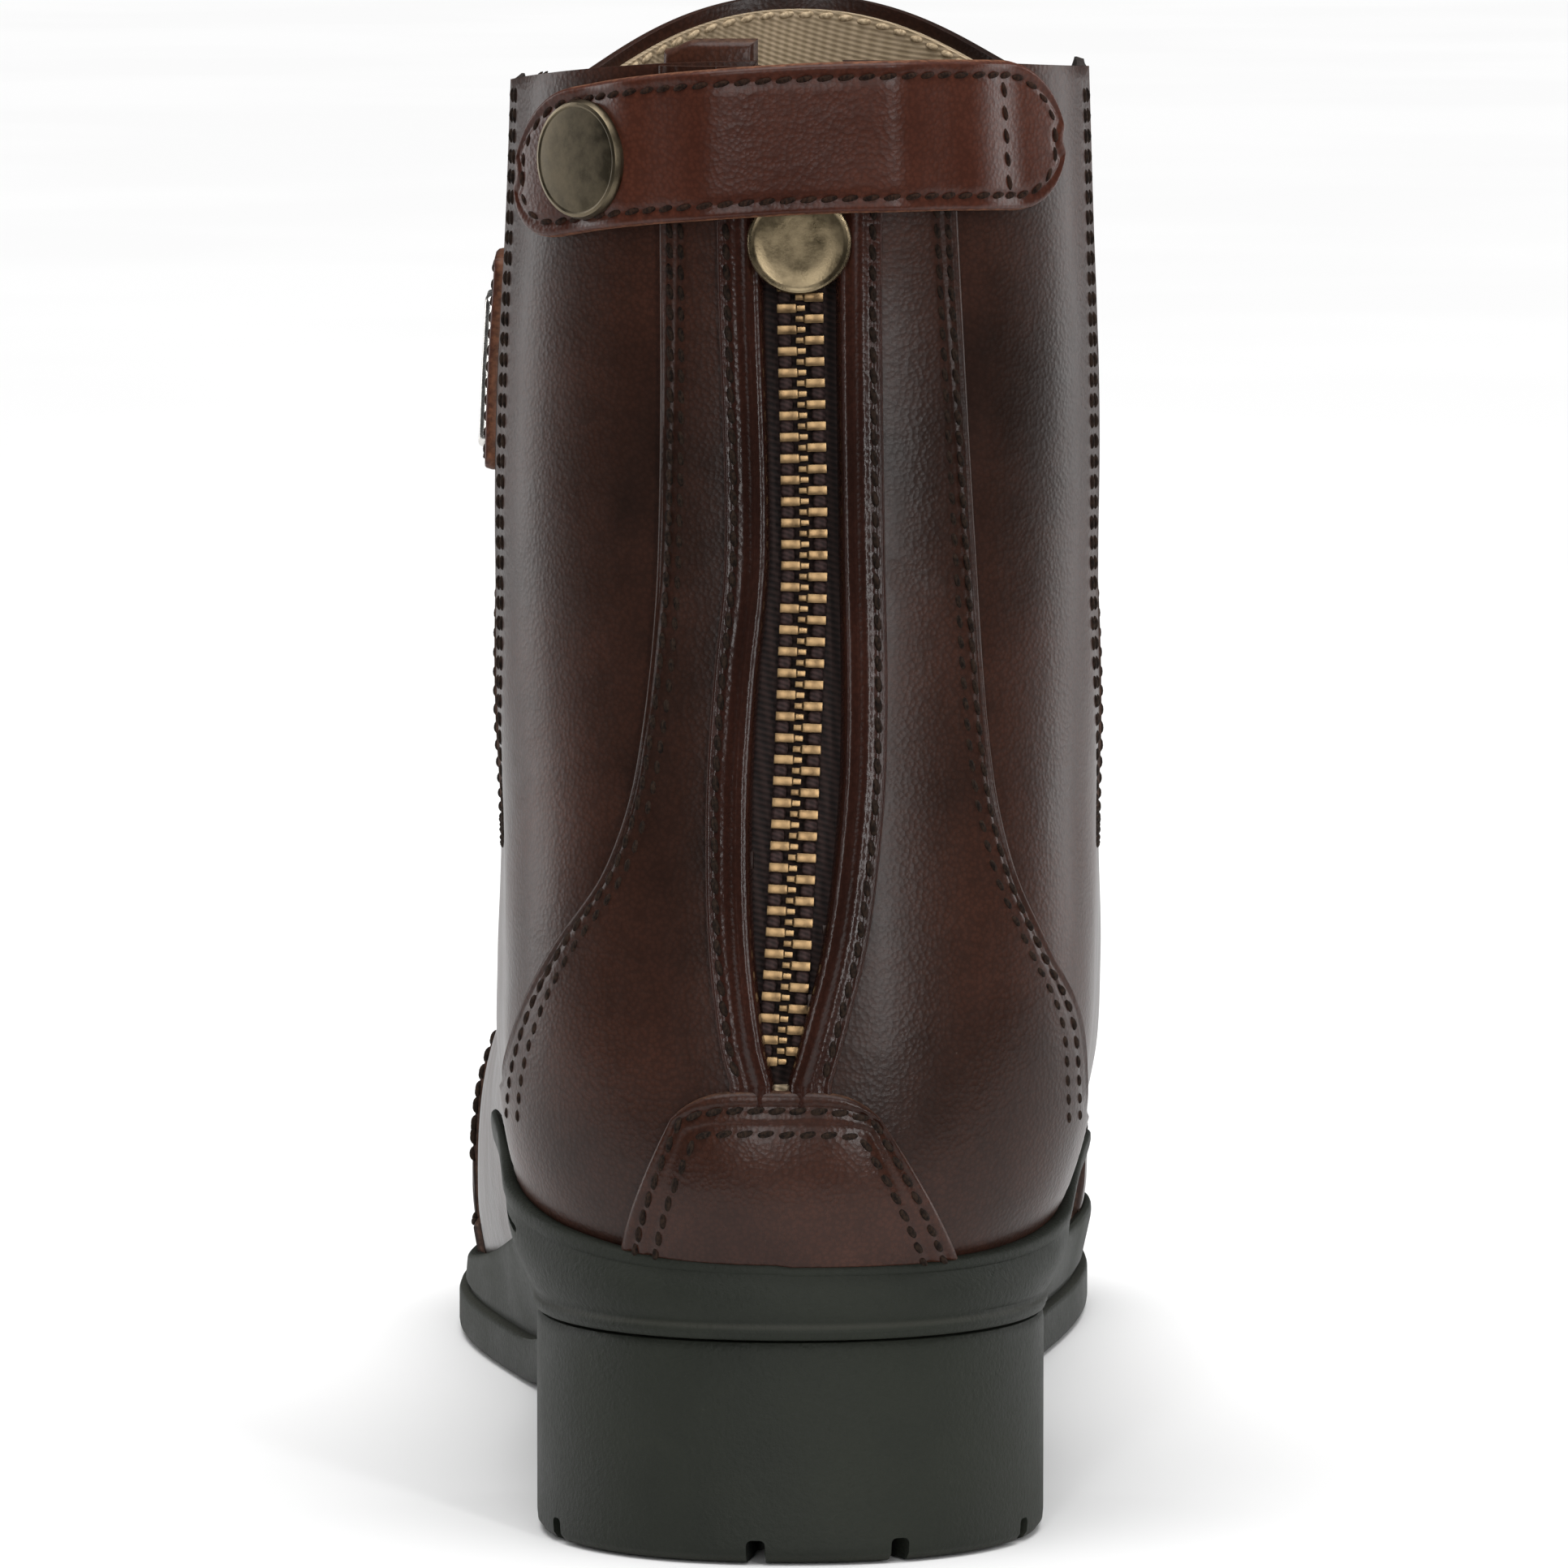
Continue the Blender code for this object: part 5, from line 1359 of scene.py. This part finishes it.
# A row round the outsole; its height counts from the bottom, or from the layer's top where layer is 1
def outlineRow(inset, layer, height, scale=1.0, atHeel=1.0):
    def row(angles):
        side = sideOf(np.sin(angles))
        share = (1.0 - np.cos(angles)) / 2.0
        full = between(-last.heelBack, last.toeY, share)
        depth = inset * between(atHeel, 1.0, ease((full - last.breastY) / last.breastY))
        y = full + depth * np.cos(angles)
        x = np.maximum(outlineHalf(side, full) - depth, 0.0) * scale
        x = np.where((share > 1e-9) & (share < 1.0 - 1e-9), x, 0.0)
        return np.stack([side * x, y, bottomZ(y) + (layer * soleLayer(y) + height)], axis=-1)

    return row


def wallRow(share, offset, drop=0.0, swell=0.0):
    def row(angles):
        level = rimLevel(angles) * share
        points = lastPoint(level, angles)
        out = offset + swell * (1.0 - ease(points[:, 1:2] / last.breastY))
        points = points + lastNormal(level, angles) * out
        points[:, 2] -= drop
        return points

    return row


def floorRow(scale):
    def row(angles):
        points = lastPoint(0.0, angles) + lastNormal(0.0, angles) * last.gap
        points[:, 0] *= scale
        points[:, 2] = floorZ(points[:, 1])
        return points

    return row


# A row part of the way from one row to another, standing out by a bulge
def mixRow(first, second, share, bulge=0.0):
    def row(angles):
        points = between(first(angles), second(angles), share)
        away = points * np.array([1.0, 1.0, 0.0])
        swell = bulge * between(1.0, 0.15, ease(points[:, 1:2] / last.breastY))
        return points + unit(away) * swell

    return row


# Moulded slits in the outer wing of the cup, in millimetres: both ends, width and depth
slitRows = columns(
    "x0 y0 z0 x1 y1 z1 wide deep",
    (-38.2, 18.0, 45.0, -31.4, -12.5, 38.0, 0.9, 1.0),
    (-35.6, 1.0, 39.6, -32.8, -5.5, 31.8, 1.0, 1.0),
)


# Cuts the joined cutters out of a piece and removes them
def cutAway(piece, cutters):
    cutter = joinPieces(cutters)
    applyModifier(piece, "BOOLEAN", operation="DIFFERENCE", solver="EXACT", object=cutter)
    bpy.data.objects.remove(cutter)


def makeSlits():
    cutters = []
    for x0, y0, z0, x1, y1, z1, wide, deep in tableRows(slitRows):
        start = np.array([x0, y0, z0]) / 1000
        end = np.array([x1, y1, z1]) / 1000
        out = unit(np.array([x0 + x1, y0 + y1, 0.0]))
        block = addBlock((float(np.linalg.norm(end - start)), wide / 1000, 0.005), (0, 0, 0), 0.3)
        middle = (start + end) / 2 + out * (0.0025 - deep / 1000)
        placeMesh(block, Matrix(framesAt(middle[None], (end - start)[None], out[None])[0].tolist()))
        cutters.append(block)
    return cutters


# Rows of the outsole from the middle of its underside out and up to its shoulder, in millimetres
outsoleRows = columns(
    "inset layer height scale atHeel",
    (0.0, 0, 0.0, 0.0, 1.0),
    (4.0, 0, 0.0, 0.45, 1.0),
    (3.0, 0, 0.0, 1.0, 1.0),
    (1.4, 0, 0.0, 1.0, 0.5),
    (0.6, 0, 0.25, 1.0, 0.5),
    (0.1, 0, 0.9, 1.0, 1.0),
    (0.0, 0, 1.6, 1.0, 1.0),
    (0.0, 1, -0.8, 1.0, 1.0),
    (0.2, 1, -0.2, 1.0, 0.0),
    (0.7, 1, 0.0, 1.0, 0.1),
    (1.4, 1, 0.2, 1.0, 0.12),
    (1.2, 1, 0.7, 1.0, 0.2),
)

# The cup's bulged wall between outsole and rim, in millimetres
bulgeRows = columns(
    "share bulge",
    (0.12, 0.3),
    (0.25, 0.6),
    (0.40, 0.9),
    (0.55, 1.1),
    (0.70, 1.1),
    (0.85, 0.9),
    (1.00, 0.6),
)

# The rim, from its outer face over its top and down inside the cup, in millimetres off the leather
lipRows = columns(
    "share offset drop swell",
    (0.86, 2.6, 0.0, 0.7),
    (0.93, 2.4, 0.0, 0.7),
    (0.98, 2.1, 0.0, 0.7),
    (1.0, 1.8, 0.1, 0.6),
    (1.004, 1.5, 0.1, 0.5),
    (1.0, 1.2, 0.3, 0.2),
    (0.93, 0.9, 0.0, 0.0),
    (0.85, 0.3, 0.0, 0.0),
    (0.4, 0.3, 0.0, 0.0),
)


def makeSole():
    top = outlineRow(sole.step, 1, 0.0006, 1.0, 0.0)
    shoulder = wallRow(0.78, last.gap + sole.rim)
    rows = []
    for inset, layer, height, scale, atHeel in tableRows(outsoleRows):
        rows.append(outlineRow(inset / 1000, layer, height / 1000, scale, atHeel))
    rows += [mixRow(top, shoulder, share, bulge / 1000) for share, bulge in tableRows(bulgeRows)]
    rows += [wallRow(share, *(size / 1000 for size in sizes)) for share, *sizes in tableRows(lipRows)]
    rows += [floorRow(scale) for scale in (1.0, 0.5, 0.0)]
    piece = layTube(rows, sole.across, True)
    cutAway(piece, makeSlits())
    points = readPoints(piece)
    height = points[:, 2] - bottomZ(points[:, 1])
    setEdge(piece, hump(height, soleLayer(points[:, 1]), 0.0006) * 0.7)
    finishPiece(piece, "soleSkin", rubber, ["sole_unit"], angle=50)


heel = Sizes(across=220, width=0.0646, corner=0.80, centreY=-0.002, notches=(-62.0, -7.4, 23.6, 62.0))


def heelRow(inset, z, scale=1.0):
    def row(angles):
        side = sideOf(np.sin(angles))
        share = np.abs(np.arctan2(np.sin(angles), np.cos(angles))) / math.pi
        t = 1.0 - np.cos(math.pi / 2 * np.minimum(share / heel.corner, 1.0))
        y = between(-last.heelBack + 0.001, last.breastY, t)
        fade = 1.0 - np.maximum(share - heel.corner, 0.0) / (1.0 - heel.corner)
        x = outlineHalf(side, y - 0.001 * (1 - t)) * heel.width / last.heelSeatWidth * fade
        length = np.maximum(np.hypot(x, y - heel.centreY), 0.001)
        x = (x - inset * x / length) * scale
        y = y - inset * (y - heel.centreY) / length
        y = between(heel.centreY, y, scale)
        return np.stack([side * x, y, z + 0.0 * x], axis=-1)

    return row


# Rows of the heel block from the floor up, in millimetres; height counts from its top where atTop is 1
heelRows = columns(
    "inset atTop height scale",
    (0.0, 0, 0.0, 0.0),
    (0.0, 0, 0.0, 0.6),
    (1.6, 0, 0.0, 1.0),
    (0.7, 0, 0.3, 1.0),
    (0.1, 0, 1.1, 1.0),
    (0.0, 0, 2.2, 1.0),
    (0.0, 0, 8.5, 1.0),
    (0.0, 0, 18.0, 1.0),
    (0.0, 1, -1.4, 1.0),
    (0.1, 1, -0.6, 1.0),
    (0.4, 1, -0.1, 1.0),
    (0.8, 1, 0.0, 1.0),
    (0.0, 1, 0.0, 0.5),
    (0.0, 1, 0.0, 0.0),
)


def makeHeel():
    rows = []
    for inset, atTop, height, scale in tableRows(heelRows):
        rows.append(heelRow(inset / 1000, atTop * last.heelHeight + height / 1000, scale))
    piece = layTube(rows, heel.across, True)
    cutters = []
    for degrees in heel.notches:
        turn = math.radians(degrees)
        reach = last.heelBack - 0.0045
        cutter = addBlock((0.0024, 0.016, 0.006))
        spot = Matrix.Translation((math.sin(turn) * reach, -math.cos(turn) * reach, 0))
        placeMesh(cutter, spot @ Matrix.Rotation(turn, 4, "Z"))
        cutters.append(cutter)
    cutAway(piece, cutters)
    heights = readPoints(piece)[:, 2]
    setEdge(piece, np.where(heights > 0.0003, clamp(0.7 - heights / 0.004), 0.3))
    finishPiece(piece, "heelSkin", rubber, ["heel"], angle=40)


def insoleRow(inset, height, scale=1.0):
    def row(angles):
        points = lastPoint(0.0, angles) - lastNormal(0.0, angles) * (0.0025 + inset)
        points[:, 0] *= scale
        points[:, 2] = floorZ(points[:, 1]) + last.gap + height
        return points

    return row


makeSole()
makeHeel()
insoleRows = columns(
    "inset height scale",
    (0.0, 0.0, 0.0),
    (0.0, 0.0, 1.0),
    (0.0, 2.8, 1.0),
    (0.6, 3.4, 1.0),
    (3.0, 3.5, 1.0),
    (0.0, 3.3, 0.5),
    (0.0, 3.1, 0.0),
)
insoleSteps = [insoleRow(inset / 1000, height / 1000, scale) for inset, height, scale in tableRows(insoleRows)]
insolePiece = layTube(insoleSteps, 120, True)
finishPiece(insolePiece, "insoleSkin", insoleLeather, ["insole"])
print("stage: sole, heel and insole")

# Stitches: long thread loops that lean across their line and sink at both ends
sewing = Sizes(pitch=0.00255, long=0.00238, thick=0.00088, slant=0.20, sink=0.45)


def baseStitch(long, thick):
    deselectAll()
    bpy.ops.mesh.primitive_uv_sphere_add(segments=8, ring_count=8, radius=0.5)
    piece = bpy.context.active_object
    placeMesh(piece, Matrix.Diagonal((long, thick, thick, 1.0)) @ Matrix.Rotation(math.pi / 2, 4, "Y"))
    points = readPoints(piece)
    share = np.abs(points[:, 0]) / (long / 2)
    points[:, 2] -= thick * sewing.sink * share**3
    writePoints(piece, points)
    return piece


# Frames along a line; place(t, lift) gives points at shares t of the line
def sewLine(place, pitch):
    fine = np.linspace(0.0, 1.0, 201)
    track = place(fine, 0.0 * fine)
    runs = np.pad(np.cumsum(np.linalg.norm(np.diff(track, axis=0), axis=1)), (1, 0))
    count = max(1, int(runs[-1] / pitch))
    t = np.interp((np.arange(count) + 0.5) * runs[-1] / count, runs, fine)
    points = place(t, 0.0 * t)
    ahead = place(np.minimum(t + 0.003, 1.0), 0.0 * t) - place(np.maximum(t - 0.003, 0.0), 0.0 * t)
    out = unit(place(t, 0.0 * t + 0.0008) - points)
    ahead = unit(ahead - out * np.sum(ahead * out, axis=-1, keepdims=True))
    return framesAt(points, ahead + np.cross(out, ahead) * sewing.slant, out)


def sew(name, lines, finish, pitch=sewing.pitch, long=sewing.long, thick=sewing.thick):
    frames = np.concatenate([sewLine(line, pitch) for line in lines])
    piece = copyInto(baseStitch(long, thick), frames, name)
    finishPiece(piece, name, finish, angle=60)


def counterStitch(side, inset):
    def line(t, lift):
        z = between(0.0530, last.collarBackZ - 0.0020, t)
        seat = overlay.onUpper + overlay.counter - groove.depth * 0.6
        return overBack(counterEdge(z, side) - side * inset, z, seat + lift)

    return line


def facingStitch(side, inset):
    def line(t, lift):
        z = between(zipper.footZ + 0.0007, last.collarBackZ - 0.0020, t)
        seat = overlay.onCounter + overlay.facing - groove.depth * 0.6
        return overBack(slotEdge(z, side, facing.width - inset), z, seat + lift)

    return line


# Up one side of the heel patch, over its top and down the other, beside its edge
def patchStitch(inset):
    def line(t, lift):
        rise = np.minimum(np.minimum(t, 1 - t) / 0.4, 1.0)
        edge = inset / (2 * between(patch.footHalf, patch.topHalf, rise**1.35))
        across = clamp((t - 0.4) / 0.2)
        return patchPlace(between(edge, 1 - edge, across), rise * (1 - inset / 0.019), overlay.patch + lift)

    return line


# Beside the elastic; end is -1 for its back edge and 1 for its front edge
def gussetStitch(side, inset, end):
    def line(t, lift):
        radius = elastics.width / 2 + inset
        foot = elastics.footZ - inset
        z = between(foot, 0.1835, 1.0 - np.cos(math.pi / 2 * t))
        half = radius * roundEnd(z - foot, elastics.width * 0.75 + inset, 2.0)
        return overSide(side, elastics.y + end * half, z, lift - groove.depth * 0.5)

    return line


def capStitch(inset):
    def line(t, lift):
        return capPlace(between(0.02, 0.98, t), 1.0 - inset / 0.045, toeCap.thickness + lift)

    return line


def strapStitch(t, lift):
    half = strap.height / 2 - 0.0019
    left = -strap.lateral + strap.height / 2
    right = strap.medial - strap.height / 2
    straight = right - left
    bend = math.pi * half
    run = t * 2 * (straight + bend)
    turnRight = np.clip((run - straight) / half, 0.0, math.pi)
    turnLeft = np.clip((run - 2 * straight - bend) / half, 0.0, math.pi)
    back = np.clip(run - straight - bend, 0.0, straight)
    arc = left + np.minimum(run, straight) - back + half * (np.sin(turnRight) - np.sin(turnLeft))
    height = np.where(run < 2 * straight + bend, half * np.cos(turnRight), -half * np.cos(turnLeft))
    return overStrap(arc, height, strap.thickness - groove.depth * 0.6 + lift)


def strapBar(t, lift):
    return overStrap(0.0252 + 0.0 * t, between(-0.0072, 0.0072, t), strap.thickness + lift)


def collarStitch(start, end, drop, offset):
    def line(t, lift):
        angle = between(start, end, t)
        level = levelForZ(lastPoint(1.0, angle)[..., 2] - drop, lambda at: angle)
        points = skinPoint(level, angle, offset)
        return points + lastNormal(level, angle) * (lift if offset >= 0 else -lift)[..., None]

    return line


def tabStitch(t, lift):
    width, height = (side - 2 * 0.0016 for side in badge.tab)
    run = t * 2 * (width + height)
    corners = [0, width, width + height, 2 * width + height, 2 * width + 2 * height]
    x = np.interp(run, corners, [-1, 1, 1, -1, -1])
    z = np.interp(run, corners, [1, 1, -1, -1, 1])
    y = elastics.y - x * width / 2
    return overSide(-1, y, badge.tabZ + z * height / 2, badge.base + badge.thick + lift)


backLines = [counterStitch(side, inset) for side in (-1, 1) for inset in (0.0014, 0.0028)]
backLines += [facingStitch(side, 0.0012) for side in (-1, 1)]
sew("stitchBack", backLines, thread)
sew("stitchPatch", [patchStitch(0.0020), patchStitch(0.0044)], thread)
gussetRows = product((-1, 1), (0.0016, 0.0032), (-1, 1))
gussetLines = [gussetStitch(*row) for row in gussetRows]
sew("stitchGusset", gussetLines, thread)
sew("stitchCap", [capStitch(0.0016), capStitch(0.0034)], thread)
sew("stitchStrap", [strapStitch, strapBar], strapThread, 0.00258, 0.0024, 0.00078)
sew("stitchTab", [tabStitch], strapThread, 0.0021, 0.0017, 0.0005)
frontArc = (math.pi * 0.62, math.pi * 1.38)
sew("stitchCollar", [collarStitch(*frontArc, 0.0024, 0.0)], thread)
sew("stitchLining", [collarStitch(*frontArc, 0.0024, -0.0022)], liningThread)
print("stage: stitches")

# Floor, light and camera
studio = Sizes(
    floor=(0.90, 0.90, 0.90), floorSize=40.0, floorNear=0.18, seen=0.95, fill=0.06, sun=3.3,
    sunSpread=60.0,
)
deselectAll()
floorPlace = (0.0, studio.floorSize / 2 - studio.floorNear, -0.0002)
bpy.ops.mesh.primitive_plane_add(size=studio.floorSize, location=floorPlace)
floor = bpy.context.active_object
floor.name = "floor"
floorFinish = Finish("floorPaper", 0.95)
floorTone = floorFinish.span(floorFinish.noise(3.0, 2.0, 0.5), 0.4, 0.6, 0.0, 1.0)
floorFinish.feed("Base Color", floorFinish.blend(floorTone, studio.floor, lighter(studio.floor, 1.02)))
floorFinish.feed("Specular IOR Level", 0.1)
floor.data.materials.append(floorFinish.material)


# The studio walls are bright to look at, and light the boot softly
def makeWorld():
    world = bpy.data.worlds.new("studio")
    bpy.context.scene.world = world
    world.use_nodes = True
    tree = world.node_tree
    fill = tree.nodes["Background"]
    fill.inputs["Strength"].default_value = studio.fill
    fill.inputs["Color"].default_value = (1.0, 1.0, 1.0, 1.0)
    seen = tree.nodes.new("ShaderNodeBackground")
    seen.inputs["Strength"].default_value = studio.seen
    path = tree.nodes.new("ShaderNodeLightPath")
    mixed = tree.nodes.new("ShaderNodeMixShader")
    tree.links.new(path.outputs["Is Camera Ray"], mixed.inputs["Fac"])
    tree.links.new(fill.outputs["Background"], mixed.inputs[1])
    tree.links.new(seen.outputs["Background"], mixed.inputs[2])
    tree.links.new(mixed.outputs["Shader"], tree.nodes["World Output"].inputs["Surface"])


def addLight(name, kind, place, target, energy, **settings):
    light = bpy.data.lights.new(name, kind)
    light.energy = energy
    for key, value in settings.items():
        setattr(light, key, value)
    made = addObject(name, light)
    made.location = place
    made.rotation_euler = (Vector(target) - Vector(place)).to_track_quat("-Z", "Y").to_euler()


makeWorld()
addLight("softSun", "SUN", (0, -0.4, 3), (0, 0, 0), studio.sun, angle=math.radians(studio.sunSpread))
# Box lights by name, with place, target, watts, width and height
boxLights = {
    "softLeft": ((-1.25, 0.55, 0.30), (0, 0.02, 0.1), 8, 0.5, 1.2),
    "softRight": ((1.25, 0.55, 0.30), (0, 0.02, 0.1), 8, 0.5, 1.2),
    "stripLeft": ((-0.25, -1.80, 0.50), (0, 0, 0.1), 8, 0.14, 1.1),
    "stripRight": ((0.75, -1.65, 0.50), (0, 0, 0.1), 11, 0.14, 1.1),
}
for name, (place, target, watts, width, height) in boxLights.items():
    addLight(name, "AREA", place, target, watts, shape="RECTANGLE", size=width, size_y=height)

view = Sizes(distance=1.5, elevation=5.7, focalPixels=14880.0, frame=1932, target=(-0.0008, -0.034, 0.0981))
cameraData = bpy.data.cameras.new("camera")
camera = addObject("camera", cameraData)
tilt = math.radians(view.elevation)
camera.location = Vector(view.target) + Vector((0.0, -math.cos(tilt), math.sin(tilt))) * view.distance
camera.rotation_euler = (math.pi / 2 - tilt, 0.0, 0.0)
cameraData.sensor_width = 36.0
cameraData.lens = cameraData.sensor_width * view.focalPixels / view.frame
cameraData.clip_end = 60.0
bpy.context.scene.camera = camera
bpy.context.scene.view_settings.view_transform = "Standard"
print("stage: floor, light and camera")
